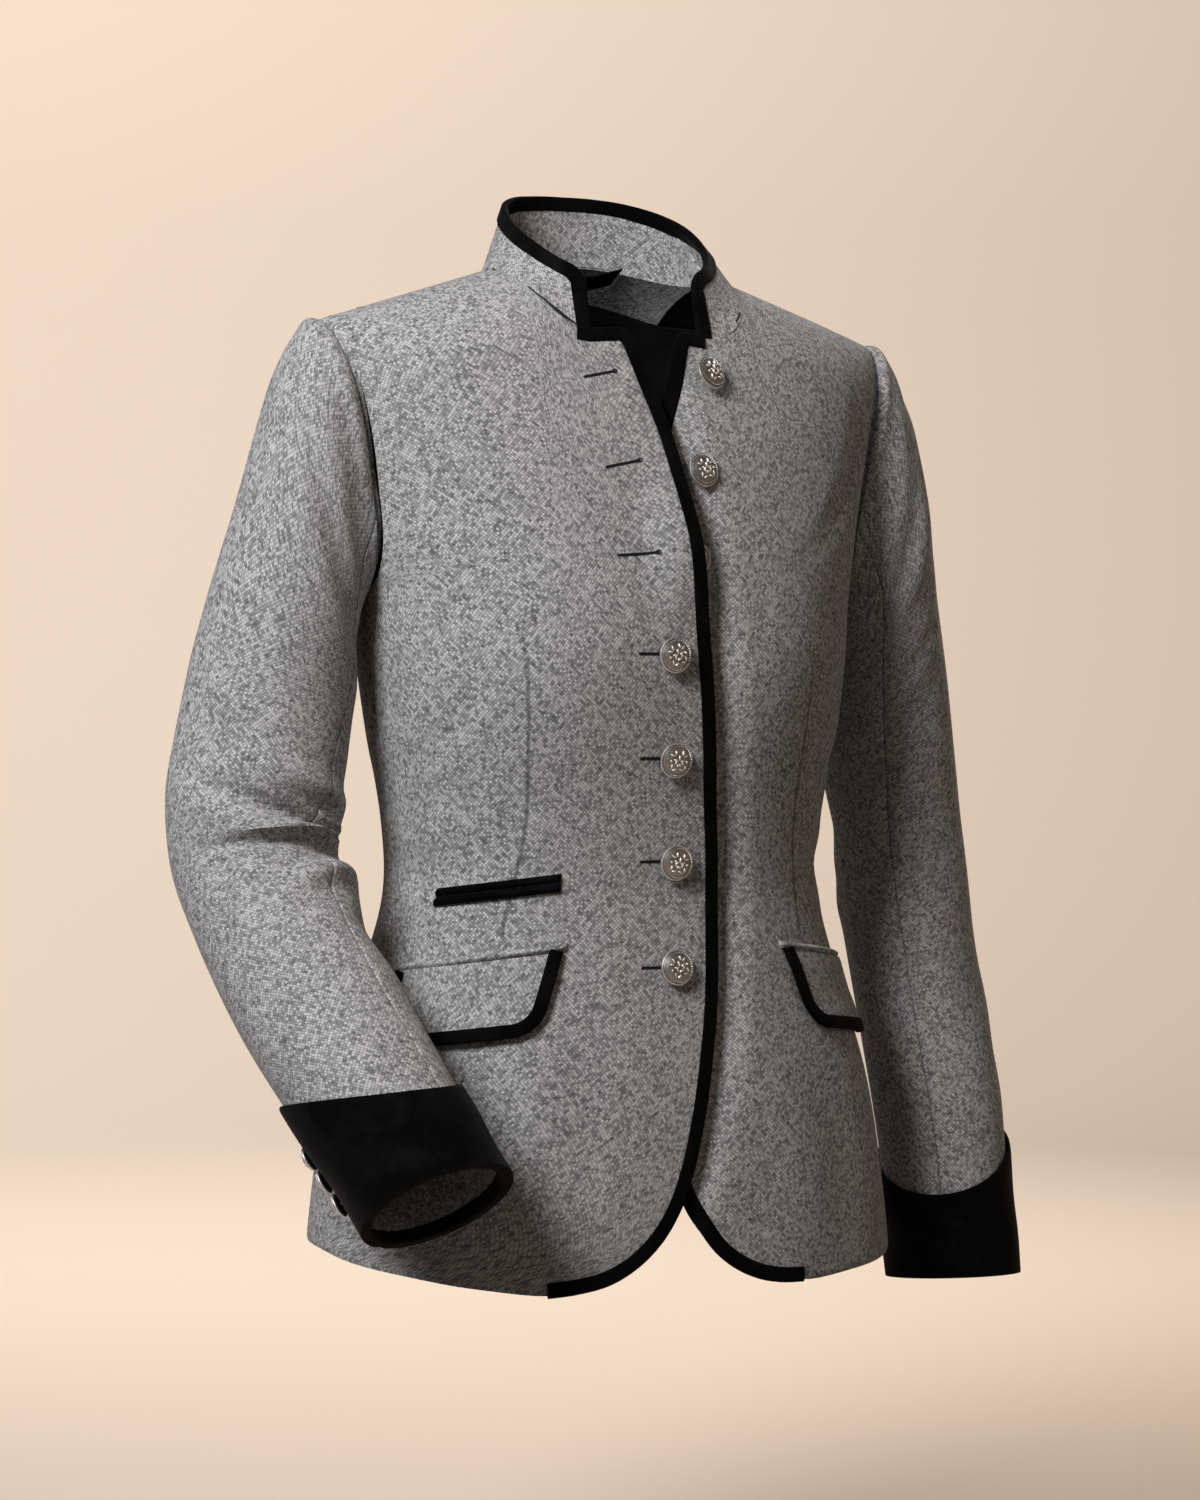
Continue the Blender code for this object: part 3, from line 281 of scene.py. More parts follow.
# Collar: turn in degrees, base x, base z, rim x, rim y, rim z. Right front end round to the left.
COLLAR: Rows = (
    (-34.0, -0.0440, -0.0526, -0.0450, -0.0655, -0.0150),
    (-45.0, -0.0560, -0.0465, -0.0535, -0.0540, -0.0085),
    (-62.0, -0.0710, -0.0300, -0.0615, -0.0350, 0.0030),
    (-78.0, -0.0770, -0.0175, -0.0635, -0.0150, 0.0130),
    (-92.0, -0.0795, -0.0095, -0.0620, 0.0050, 0.0230),
    (-110.0, -0.0700, -0.0067, -0.0560, 0.0270, 0.0340),
    (-130.0, -0.0540, -0.0020, -0.0430, 0.0440, 0.0415),
    (-155.0, -0.0260, 0.0038, -0.0220, 0.0545, 0.0450),
    (-180.0, 0.0000, 0.0050, 0.0000, 0.0580, 0.0460),
    (-205.0, 0.0260, 0.0038, 0.0230, 0.0560, 0.0455),
    (-230.0, 0.0540, -0.0020, 0.0450, 0.0470, 0.0420),
    (-250.0, 0.0700, -0.0067, 0.0600, 0.0310, 0.0350),
    (-268.0, 0.0795, -0.0095, 0.0660, 0.0090, 0.0250),
    (-282.0, 0.0770, -0.0175, 0.0650, -0.0130, 0.0140),
    (-298.0, 0.0710, -0.0300, 0.0595, -0.0340, 0.0015),
    (-315.0, 0.0520, -0.0490, 0.0470, -0.0550, -0.0090),
    (-326.0, 0.0330, -0.0540, 0.0335, -0.0665, -0.0150),
)
COLLAR_BACK = slice(4, 13)    # the rows behind the shoulder seams
CENTRE_BACK = 8               # the row at the centre back
# Front buttons: x, height, lean to the left in degrees, 1 where on the left front
BUTTONS: Rows = (
    (0.0300, -0.0793, 18.0, 1.0),
    (0.0180, -0.1388, 8.0, 1.0),
    (0.0083, -0.1925, 0.0, 1.0),
    (-0.0109, -0.2522, 0.0, 0.0),
    (-0.0061, -0.3155, 0.0, 0.0),
    (-0.0013, -0.3788, 0.0, 0.0),
    (-0.0025, -0.4436, 0.0, 0.0),
)
# Buttonholes of the right front: outer end x and height, inner end x and height
BUTTONHOLES: Rows = (
    (-0.0524, -0.0825, -0.0312, -0.0780),
    (-0.0461, -0.1383, -0.0232, -0.1335),
    (-0.0437, -0.1920, -0.0182, -0.1904),
    (-0.0325, -0.2515, -0.0109, -0.2515),
    (-0.0280, -0.3150, -0.0061, -0.3150),
    (-0.0235, -0.3783, -0.0013, -0.3783),
    (-0.0240, -0.4430, -0.0025, -0.4430),
)
# Darts: x and height from the top point down to the pocket
DART_RIGHT: Rows = ((-0.1024, -0.2314), (-0.0965, -0.3000), (-0.0935, -0.3612), (-0.1000, -0.4000), (-0.1050, -0.4189))
DART_LEFT: Rows = ((0.0964, -0.2450), (0.0935, -0.3000), (0.0919, -0.3400), (0.0945, -0.3900), (0.0990, -0.4250))


class Side(Enum):
    """The two halves of the jacket, as the wearer has them."""

    RIGHT = "right"
    LEFT = "left"

    @property
    def sign(self) -> float:
        """The sign of x on this side."""
        return -1.0 if self is Side.RIGHT else 1.0


class Face(Enum):
    """The front and the back of the body."""

    FRONT = "front"
    BACK = "back"


def read(rows: Rows, column: int, at: Array | float) -> Array:
    """Reads one column of a table, smooth between its rows.

    Args:
        rows: The table, sorted by its first column.
        column: The column to read.
        at: The places along the first column.

    Returns:
        The column's values at those places.
    """
    grid = np.array([[float(value) for value in row] for row in rows])
    if grid[0, 0] > grid[-1, 0]:
        grid = grid[::-1]
    x, y = grid[:, 0], grid[:, column]
    slope = np.gradient(y, x)
    at = np.clip(np.asarray(at, float), x[0], x[-1])
    i = np.clip(np.searchsorted(x, at) - 1, 0, len(x) - 2)
    h = x[i + 1] - x[i]
    t = (at - x[i]) / h
    low = (1 + 2 * t) * (1 - t) ** 2 * y[i] + t * (1 - t) ** 2 * h * slope[i]
    high = t * t * (3 - 2 * t) * y[i + 1] + t * t * (t - 1) * h * slope[i + 1]
    return low + high


def alike(*values: Array | float) -> tuple[Array, ...]:
    """Brings numbers and arrays to one shape."""
    return tuple(np.broadcast_arrays(*(np.asarray(value, float) for value in values)))


def unit(vectors: Array) -> Array:
    """Scales vectors to length one."""
    return vectors / np.maximum(np.linalg.norm(vectors, axis=-1, keepdims=True), 1e-12)


def smooth(value: Array) -> Array:
    """A soft step from nought to one."""
    value = np.clip(value, 0, 1)
    return value * value * (3 - 2 * value)


def run_of(points: Array) -> Array:
    """The length of a line up to each of its points."""
    return np.concatenate([[0], np.cumsum(np.linalg.norm(np.diff(points, axis=0), axis=1))])


def along_line(points: Array, count: int) -> Array:
    """Evenly spaced points of a line, by its length."""
    points = np.asarray(points, float)
    run = run_of(points)
    at = np.linspace(0, run[-1], count)
    return np.stack([np.interp(at, run, points[:, k]) for k in range(points.shape[1])], -1)


def rounded(rows: Rows, parts: int = 6) -> Array:
    """A smooth line through the rows of a table of points."""
    points = np.array(rows, float)
    run = run_of(points)
    keyed = tuple((run[i],) + tuple(points[i]) for i in range(len(points)))
    at = np.linspace(0, run[-1], (len(points) - 1) * parts + 1)
    return np.stack([read(keyed, k + 1, at) for k in range(points.shape[1])], -1)


def finer(values: Array | tuple[float, ...], parts: int) -> Array:
    """Splits each step of a rising list into equal parts."""
    values = np.asarray(values, float)
    at = np.linspace(0, len(values) - 1, (len(values) - 1) * parts + 1)
    return np.interp(at, np.arange(len(values)), values)


class Form:
    """The shape of the worn body of the jacket, as functions of a turn and a height."""

    @staticmethod
    def shoulder_z(x: Array) -> Array:
        """Height of the shoulder line, and of the yoke between the necks."""
        x = np.abs(x)
        slope = (NECK_DROP - SHOULDER_DROP) * (x - NECK_X) / (SHOULDER_X - NECK_X) - NECK_DROP
        yoke = NECK_RISE * (1 - np.minimum(x / NECK_X, 1) ** 2) - NECK_DROP
        return np.where(x > NECK_X, slope, yoke)

    @staticmethod
    def bare(turn: Array, z: Array) -> Array:
        """The outer surface at a turn from the centre front and a height."""
        s = np.sin(turn)
        front = np.cos(turn) > 0
        w = read(TORSO, 1, z)
        d = np.where(front, read(TORSO, 2, z), read(TORSO, 3, z))
        x = w * s
        y = d * np.maximum(1 - np.abs(s) ** POWER, 0) ** (1 / POWER)
        bust = BUST_RISE * np.exp(-((np.abs(x) - BUST_X) ** 2 + (z - BUST_Z) ** 2) / (2 * BUST_REACH ** 2))
        y = y + np.where(front, bust, 0)
        lift = np.clip((Form.shoulder_z(x) - z) / ROOF, 0, 1)
        y = np.where(front, -y, y) * np.sqrt(1 - (1 - lift) ** 2)
        return np.stack([x, y, z + 0 * x], -1)

    @staticmethod
    def body(turn: Array | float, z: Array | float, out: Array | float = 0.0) -> Array:
        """A point of the surface moved out along its normal.

        Args:
            turn: Angle from the centre front, positive to the wearer's left.
            z: Height.
            out: How far out of the surface.

        Returns:
            The points, their last axis x, y, z.
        """
        turn, z, out = alike(turn, z, out)
        step = 2e-4
        across = Form.bare(turn + 10 * step, z) - Form.bare(turn - 10 * step, z)
        up = Form.bare(turn, z + step) - Form.bare(turn, z - step)
        return Form.bare(turn, z) + unit(np.cross(across, up)) * out[..., None]

    @staticmethod
    def turn_of(x: Array | float, z: Array | float, face: Face = Face.FRONT) -> Array:
        """The turn at which the body has an x at a height."""
        share = np.clip(np.asarray(x) / read(TORSO, 1, z), -1, 1)
        turn = np.arcsin(share)
        if face is Face.BACK:
            turn = np.where(share < 0, -math.pi - turn, math.pi - turn)
        return turn

    @staticmethod
    def hem_z(turn: Array | float) -> Array:
        """Height of the hem at a turn."""
        degrees = np.abs(np.degrees(turn))
        return np.where(np.asarray(turn) < 0, read(HEM, 1, degrees), read(HEM, 2, degrees))

    @staticmethod
    def edge_x(side: Side, z: Array) -> Array:
        """Where the front edge is at a height, towards the front's own side."""
        rows = EDGE_RIGHT if side is Side.RIGHT else EDGE_LEFT
        return read(tuple((row[1], row[0]) for row in rows), 1, z)

    @staticmethod
    def lap(side: Side, turn: Array, z: Array) -> Array:
        """How far a front lies out of the body's surface where the two fronts overlap.

        The left front goes in under the right one, and the right one stands out over the third
        loose button.
        """
        x = Form.bare(turn, z)[..., 0]
        if side is Side.LEFT:
            return -LAP_UNDER * smooth((-Form.edge_x(Side.RIGHT, z) + 0.030 - x) / 0.026)
        return LAP_OVER * smooth((x + 0.030) / 0.027) * np.exp(-((z + 0.1880) / 0.042) ** 2)

    @staticmethod
    def relief(turn: Array, z: Array) -> Array:
        """The soft folds of the body: how far out the cloth lies."""
        x = Form.bare(turn, z)[..., 0]
        out = np.zeros(np.shape(x))
        for degrees, height, run_x, run_z, wide, long, depth in BODY_FOLDS:
            across = (np.asarray(turn) - math.radians(degrees)) * MEAN_RADIUS
            up = z - height
            size = math.hypot(run_x, run_z)
            along = (across * run_x + up * run_z) / size
            away = (up * run_x - across * run_z) / size
            bend = away - 0.25 * along ** 2 / long
            out = out + depth * np.exp(-(along / long) ** 2) * (
                0.6 * np.exp(-((bend - 1.7 * wide) / wide) ** 2) - np.exp(-(bend / wide) ** 2)
                + 0.6 * np.exp(-((bend + 1.7 * wide) / wide) ** 2))
        return out * smooth((np.abs(x) - 0.020) / 0.050)    # none near the front edges

    @staticmethod
    def front_line(side: Side) -> Array:
        """The front edge as turn and height, from its top corner to the end of its binding."""
        rows = rounded(EDGE_RIGHT if side is Side.RIGHT else EDGE_LEFT)
        return np.stack([Form.turn_of(side.sign * rows[:, 0], rows[:, 1]), rows[:, 1]], -1)


class Tube:
    """The shape of the two sleeves."""

    ROWS = {Side.RIGHT: SLEEVE_RIGHT, Side.LEFT: SLEEVE_LEFT}
    FOLDS = {Side.RIGHT: FOLDS_RIGHT + CREASES_RIGHT, Side.LEFT: FOLDS_LEFT + CREASES_LEFT}
    END = {Side.RIGHT: 1.14, Side.LEFT: 1.13}          # where a sleeve ends, along it
    LENGTH = {Side.RIGHT: 0.667, Side.LEFT: 0.717}     # the real length of one unit along it
    VENT = {Side.RIGHT: -26.0, Side.LEFT: -70.0}       # where round it the cuff's vent is, in degrees
    GAP = 0.0004         # how far out of the body's surface it starts
    BLEND = 0.24         # how far along it its sections follow the armhole

    @staticmethod
    def armhole(side: Side, theta: Array) -> Array:
        """The armhole at an angle round it: nought is the shoulder point, a quarter is the front."""
        z = (UNDERARM - SHOULDER_DROP) / 2 + (UNDERARM + SHOULDER_DROP) / -2 * np.cos(theta)
        front = np.sin(theta) >= 0
        ahead = Form.body(Form.turn_of(side.sign * read(ARMHOLE, 1, z), z), z)
        behind = Form.body(Form.turn_of(side.sign * read(ARMHOLE, 2, z), z, Face.BACK), z)
        points = np.where(front[..., None], ahead, behind)
        points[..., 0] += side.sign * Tube.GAP
        return points

    @staticmethod
    def ends(side: Side, at: Array) -> tuple[Array, Array]:
        """The outer and inner line of a sleeve."""
        rows = Tube.ROWS[side]
        outer = np.stack([side.sign * read(rows, 1, at), read(rows, 2, at), read(rows, 3, at)], -1)
        inner = np.stack([side.sign * read(rows, 4, at), read(rows, 5, at), read(rows, 6, at)], -1)
        return outer, inner

    @staticmethod
    def creased(side: Side, along: Array, theta: Array) -> Array:
        """How far out the cloth lies for the folds and creases at a place."""
        grow = np.zeros(np.shape(along))
        for at, degrees, tall, wide, deep, slope in Tube.FOLDS[side]:
            away = (theta - math.radians(degrees) + math.pi) % (2 * math.pi) - math.pi
            line = (along - at - slope * away) / tall
            share = np.exp(-(away / math.radians(wide)) ** 2)
            ridge = np.exp(-line ** 2) - 0.55 * np.exp(-(line - 1.9) ** 2)
            grow = grow - deep * share * (ridge - 0.55 * np.exp(-(line + 1.9) ** 2))
        return grow

    @staticmethod
    def point(side: Side, along: Array, theta: Array, out: Array | float = 0.0) -> Array:
        """A point of a sleeve.

        Args:
            side: Which sleeve.
            along: How far along it.
            theta: The angle round it, nought on the outer side and a quarter in front.
            out: How far out of its face.

        Returns:
            The points, their last axis x, y, z.
        """
        along, theta, out = alike(along, theta, out)
        outer, inner = Tube.ends(side, along)
        ahead = np.add(*Tube.ends(side, along + 0.02)) / 2
        behind = np.add(*Tube.ends(side, along - 0.02)) / 2
        half = (outer - inner) / 2
        deep = unit(np.cross(half, ahead - behind)) * -side.sign
        depth = read(Tube.ROWS[side], 7, along)[..., None]
        first_outer, first_inner = Tube.ends(side, np.zeros_like(along))
        oval = (first_outer + first_inner) / 2 + (first_outer - first_inner) / 2 * np.cos(theta)[..., None]
        forward = np.array([0.0, -1.0, 0.0])
        oval = oval + forward * read(Tube.ROWS[side], 7, 0 * along)[..., None] * np.sin(theta)[..., None]
        share = smooth(1 - along / Tube.BLEND)[..., None]
        rest = (Tube.armhole(side, theta) - oval) * share
        cap = 0.0030 * smooth(np.cos(theta) + 0.5) * np.exp(-((along - 0.030) / 0.022) ** 2)
        grow = out + Tube.creased(side, along, theta) + cap
        outward = unit(half * np.cos(theta)[..., None] / np.linalg.norm(half, axis=-1, keepdims=True)
                       + deep * np.sin(theta)[..., None])
        centre = (outer + inner) / 2
        point = centre + half * np.cos(theta)[..., None] + deep * depth * np.sin(theta)[..., None]
        return point + rest + outward * grow[..., None]

    @staticmethod
    def core(side: Side, along: Array) -> Array:
        """A point on the middle line of a sleeve."""
        return np.add(*Tube.ends(side, along)) / 2


class Neck:
    """The shape of the stand collar."""

    FIRST = COLLAR[0][0]
    LAST = COLLAR[-1][0]
    CORNER = 0.008       # radius of the collar's front corners
    DEGREE = 0.00112     # length of the rim over one degree
    HEIGHT = 0.038       # height of the collar at its corners
    SIDES = (-91.5, -268.5)    # degrees at which its base passes from a front to a back

    @staticmethod
    def place(at: Array, share: Array, out: Array | float = 0.0) -> Array:
        """A point of the collar's outer face.

        Args:
            at: Degrees round the neck.
            share: Share of its height.
            out: How far out of the face.

        Returns:
            The points, their last axis x, y, z.
        """
        at, share, out = alike(at, share, out)

        def spot(degrees: Array, part: Array) -> Array:
            """A point of the face itself."""
            x, z = read(COLLAR, 1, degrees), read(COLLAR, 2, degrees)
            front = (degrees > Neck.SIDES[0]) | (degrees < Neck.SIDES[1])
            turn = np.where(front, Form.turn_of(x, z), Form.turn_of(x, z, Face.BACK))
            base = Form.body(turn, z)
            rim = np.stack([read(COLLAR, k, degrees) for k in (3, 4, 5)], -1)
            base = base + unit(rim - base) * 0.0010
            return base + (rim - base) * part[..., None]

        across = spot(at - 1.0, share) - spot(at + 1.0, share)
        up = spot(at, share + 0.05) - spot(at, share - 0.05)
        return spot(at, share) + unit(np.cross(up, across)) * out[..., None]

    @staticmethod
    def top(at: Array) -> Array:
        """How much of the collar's height stands, less at its rounded front corners."""
        from_end = np.minimum(Neck.FIRST - at, at - Neck.LAST) * Neck.DEGREE
        near = np.clip(Neck.CORNER - from_end, 0, Neck.CORNER)
        return 1 - (Neck.CORNER - np.sqrt(Neck.CORNER ** 2 - near ** 2)) / Neck.HEIGHT

    @staticmethod
    def stations(count: int, fine: int = 8) -> Array:
        """Degrees round the neck, closer together at the two front ends."""
        corner = Neck.CORNER / Neck.DEGREE
        bend = 1 - np.cos(np.linspace(0, math.pi / 2, fine))
        start = Neck.FIRST - corner * bend
        end = Neck.LAST + corner * bend[::-1]
        return np.concatenate([start, np.linspace(start[-1], end[0], count)[1:-1], end])


def with_margin(grid: Array, low: bool, high: bool, rows: bool) -> Array:
    """Adds close rows or columns beside the edges of a grid, for the turn of its seams.

    Args:
        grid: The grid, with any last axis.
        low: Whether its first edge gets them.
        high: Whether its last edge gets them.
        rows: Whether rows are added, and not columns.

    Returns:
        The finer grid.
    """
    grid = grid if rows else np.swapaxes(grid, 0, 1)
    shares = np.array(MARGINS)[:, None, None]
    if high:
        extra = grid[-2] * (1 - shares) + grid[-1] * shares
        grid = np.concatenate([grid[:-1], extra, grid[-1:]])
    if low:
        extra = grid[0] * shares[::-1] + grid[1] * (1 - shares[::-1])
        grid = np.concatenate([grid[:1], extra, grid[1:]])
    return grid if rows else np.swapaxes(grid, 0, 1)


def seam_turn(near: Array) -> Array:
    """How far the cloth turns in at a distance from its seam."""
    return -sum(depth * (1 - smooth(near / reach)) for depth, reach in SEAM_TURNS)


class Nodes:
    """Shorthand for building a node tree."""

    def __init__(self, tree: Tree) -> None:
        """Keeps the tree that is built."""
        self.tree = tree

    def add(self, kind: str, **values: object) -> Node:
        """Adds one node and sets its properties."""
        node = self.tree.nodes.new(kind)
        for key, value in values.items():
            setattr(node, key, value)
        return node

    def put(self, socket: Socket, value: object) -> None:
        """Links a socket to an output, or sets its value."""
        if isinstance(value, Socket):
            self.tree.links.new(value, socket)
        else:
            socket.default_value = value

    def math(self, operation: str, *values: object, clamp: bool = False) -> Socket:
        """A math node's output, for numbers or outputs."""
        node = self.add("ShaderNodeMath", operation=operation, use_clamp=clamp)
        for index, value in enumerate(values):
            self.put(node.inputs[index], value)
        return node.outputs[0]

    def times(self, *values: object, clamp: bool = False) -> Socket:
        """Two values multiplied."""
        return self.math("MULTIPLY", *values, clamp=clamp)

    def plus(self, *values: object) -> Socket:
        """Two values added."""
        return self.math("ADD", *values)

    def vector(self, operation: str, *values: object) -> Socket:
        """A vector math node's output."""
        node = self.add("ShaderNodeVectorMath", operation=operation)
        for index, value in enumerate(values):
            self.put(node.inputs[index], value)
        return node.outputs[0]

    def parts(self, vector: Socket) -> bpy.types.NodeOutputs:
        """The three parts of a vector."""
        node = self.add("ShaderNodeSeparateXYZ")
        self.put(node.inputs[0], vector)
        return node.outputs

    def uv(self, name: str) -> Socket:
        """A UV map by its name."""
        return self.add("ShaderNodeUVMap", uv_map=name).outputs[0]

    def place(self) -> Socket:
        """The place in the object's own space."""
        return self.add("ShaderNodeTexCoord").outputs["Object"]

    def bump(self, shader: Node, height: Socket, strength: float, deep: float) -> None:
        """Gives a shader the relief of a height.

        Args:
            shader: The shader.
            height: The height, from nought to about one.
            strength: How much of it shows.
            deep: The relief's depth in metres.
        """
        node = self.add("ShaderNodeBump")
        node.inputs["Strength"].default_value = strength
        node.inputs["Distance"].default_value = deep
        self.put(node.inputs["Height"], height)
        self.put(shader.inputs["Normal"], node.outputs[0])

    def scaled(self, vector: Socket, size: Triple, turn: float = 0.0) -> Socket:
        """A vector turned about its third axis and then scaled."""
        node = self.add("ShaderNodeMapping", vector_type="POINT")
        self.put(node.inputs["Vector"], vector)
        node.inputs["Rotation"].default_value = (0.0, 0.0, turn)
        node.inputs["Scale"].default_value = size
        return node.outputs[0]

    def noise(self, vector: Socket, scale: float, detail: float = 2.0,
              rough: float = 0.5, bend: float = 0.0) -> Socket:
        """A noise texture's value."""
        node = self.add("ShaderNodeTexNoise")
        self.put(node.inputs["Vector"], vector)
        for name, value in (("Scale", scale), ("Detail", detail), ("Roughness", rough), ("Distortion", bend)):
            node.inputs[name].default_value = value
        return node.outputs["Fac"]

    def range(self, value: Socket, low: float, high: float, to_low: float = 0.0, to_high: float = 1.0) -> Socket:
        """Maps a range of values to another, clamped."""
        node = self.add("ShaderNodeMapRange")
        self.put(node.inputs[0], value)
        for index, number in enumerate((low, high, to_low, to_high)):
            node.inputs[index + 1].default_value = number
        return node.outputs[0]

    def mix(self, share: object, first: object, second: object) -> Socket:
        """A mix of two colours."""
        node = self.add("ShaderNodeMix", data_type="RGBA")
        self.put(node.inputs[0], share)
        self.put(node.inputs[6], first)
        self.put(node.inputs[7], second)
        return node.outputs[2]


def new_group(name: str, inputs: tuple[tuple[str, str, object], ...],
              outputs: tuple[tuple[str, str], ...]) -> tuple[Tree, Nodes, dict, dict]:
    """Starts a shader node group.

    Args:
        name: The group's name.
        inputs: The name, socket type and first value of each input.
        outputs: The name and socket type of each output.

    Returns:
        The group, its builder, its inputs by name and its output sockets by name.
    """
    tree = bpy.data.node_groups.new(name, "ShaderNodeTree")
    for label, kind, value in inputs:
        socket = tree.interface.new_socket(label, in_out="INPUT", socket_type=kind)
        if value is not None:
            socket.default_value = value
    for label, kind in outputs:
        tree.interface.new_socket(label, in_out="OUTPUT", socket_type=kind)
    nodes = Nodes(tree)
    source = nodes.add("NodeGroupInput")
    sink = nodes.add("NodeGroupOutput")
    return tree, nodes, {s.name: s for s in source.outputs}, {s.name: s for s in sink.inputs}


class Effects:
    """The shader node groups that several finishes share."""

    WOBBLE_SCALE = 200.0                 # how close the weave's shifts follow each other
    WOBBLE = (0.0012, 0.0012, 0.0)       # how far the weave's knots are shifted
    SLANT = math.radians(45.0)           # the weave's diagonal
    MELANGE = ((105.0, -1.0), (120.0, 1.0))    # scale of the patches and the way that they slant
    LONG = (1.0, 1.5, 1.0)               # the patches are longer than wide
    FLECKS, FIBRES = 330.0, 2600.0       # scales of the melange's flecks and fibres
    MARKS, PILE = 45.0, 3200.0           # scales of the velvet's marks and its pile

    def __init__(self) -> None:
        """Builds each group once."""
        self.weave = self.build_weave()
        self.heather = self.build_heather()
        self.nap = self.build_nap()

    @staticmethod
    def build_weave() -> Tree:
        """Diagonal rows of small round knots, as a hopsack of two yarns shows them."""
        tree, n, given, out = new_group(
            "weave", (("Vector", "NodeSocketVector", None), ("Pitch", "NodeSocketFloat", 0.0017)),
            (("Height", "NodeSocketFloat"), ("Knot", "NodeSocketFloat"), ("Yarn", "NodeSocketFloat")))
        wobble = n.add("ShaderNodeTexNoise", noise_dimensions="2D")
        n.put(wobble.inputs["Vector"], given["Vector"])
        wobble.inputs["Scale"].default_value = Effects.WOBBLE_SCALE
        shifted = n.vector("MULTIPLY_ADD", wobble.outputs["Color"], Effects.WOBBLE, given["Vector"])
        pitch = n.add("ShaderNodeCombineXYZ")
        for socket in pitch.inputs:
            n.put(socket, given["Pitch"])
        cells = n.vector("DIVIDE", n.scaled(shifted, (1.0, 1.0, 1.0), Effects.SLANT), pitch.outputs[0])
        waves = [n.math("SINE", n.times(part, math.pi)) for part in n.parts(cells)[:2]]
        knot = n.times(*(n.math("ABSOLUTE", wave) for wave in waves))
        random = n.add("ShaderNodeTexWhiteNoise", noise_dimensions="2D")
        n.put(random.inputs["Vector"], n.vector("FLOOR", cells))
        n.put(out["Height"], n.math("POWER", knot, 0.7))
        n.put(out["Knot"], n.range(knot, 0.05, 0.80))
        n.put(out["Yarn"], random.outputs["Value"])
        return tree

    @staticmethod
    def build_heather() -> Tree:
        """The uneven lighter and darker patches of a melange yarn."""
        tree, n, given, out = new_group(
            "heather", (("Vector", "NodeSocketVector", None),),
            (("Patches", "NodeSocketFloat"), ("Flecks", "NodeSocketFloat"), ("Fibres", "NodeSocketFloat")))
        slants = [n.scaled(given["Vector"], Effects.LONG, way * Effects.SLANT) for _, way in Effects.MELANGE]
        patches = [n.range(n.noise(slant, scale, 2.5, 0.6, 0.2), 0.34, 0.66)
                   for slant, (scale, _) in zip(slants, Effects.MELANGE)]
        n.put(out["Patches"], n.times(n.plus(*patches), 0.5))
        n.put(out["Flecks"], n.range(n.noise(slants[0], Effects.FLECKS, 2.0, 0.6), 0.36, 0.66))
        n.put(out["Fibres"], n.noise(given["Vector"], Effects.FIBRES, 2.0, 0.6))
        return tree

    @staticmethod
    def build_nap() -> Tree:
        """The brushed pile of velvet: fine grain, and soft marks where it lies another way."""
        tree, n, given, out = new_group(
            "nap", (("Vector", "NodeSocketVector", None),),
            (("Marks", "NodeSocketFloat"), ("Pile", "NodeSocketFloat")))
        n.put(out["Marks"], n.range(n.noise(given["Vector"], Effects.MARKS, 3.0, 0.55, 0.4), 0.42, 0.68))
        n.put(out["Pile"], n.noise(given["Vector"], Effects.PILE, 2.0, 0.7))
        return tree


def new_material(name: str) -> tuple[Material, Nodes, Node]:
    """Starts a material: the material, the builder of its tree and its shader."""
    material = bpy.data.materials.new(name)
    material.use_nodes = True
    nodes = Nodes(material.node_tree)
    return material, nodes, material.node_tree.nodes["Principled BSDF"]


def set_values(shader: Node, **values: object) -> None:
    """Sets constants on the shader's own sockets, named with spaces as underscores."""
    for key, value in values.items():
        shader.inputs[key.replace("_", " ")].default_value = value


def placed_group(nodes: Nodes, tree: Tree, vector: Socket) -> Node:
    """Places a node group in a material and feeds it a vector."""
    node = nodes.add("ShaderNodeGroup", node_tree=tree)
    nodes.put(node.inputs["Vector"], vector)
    return node


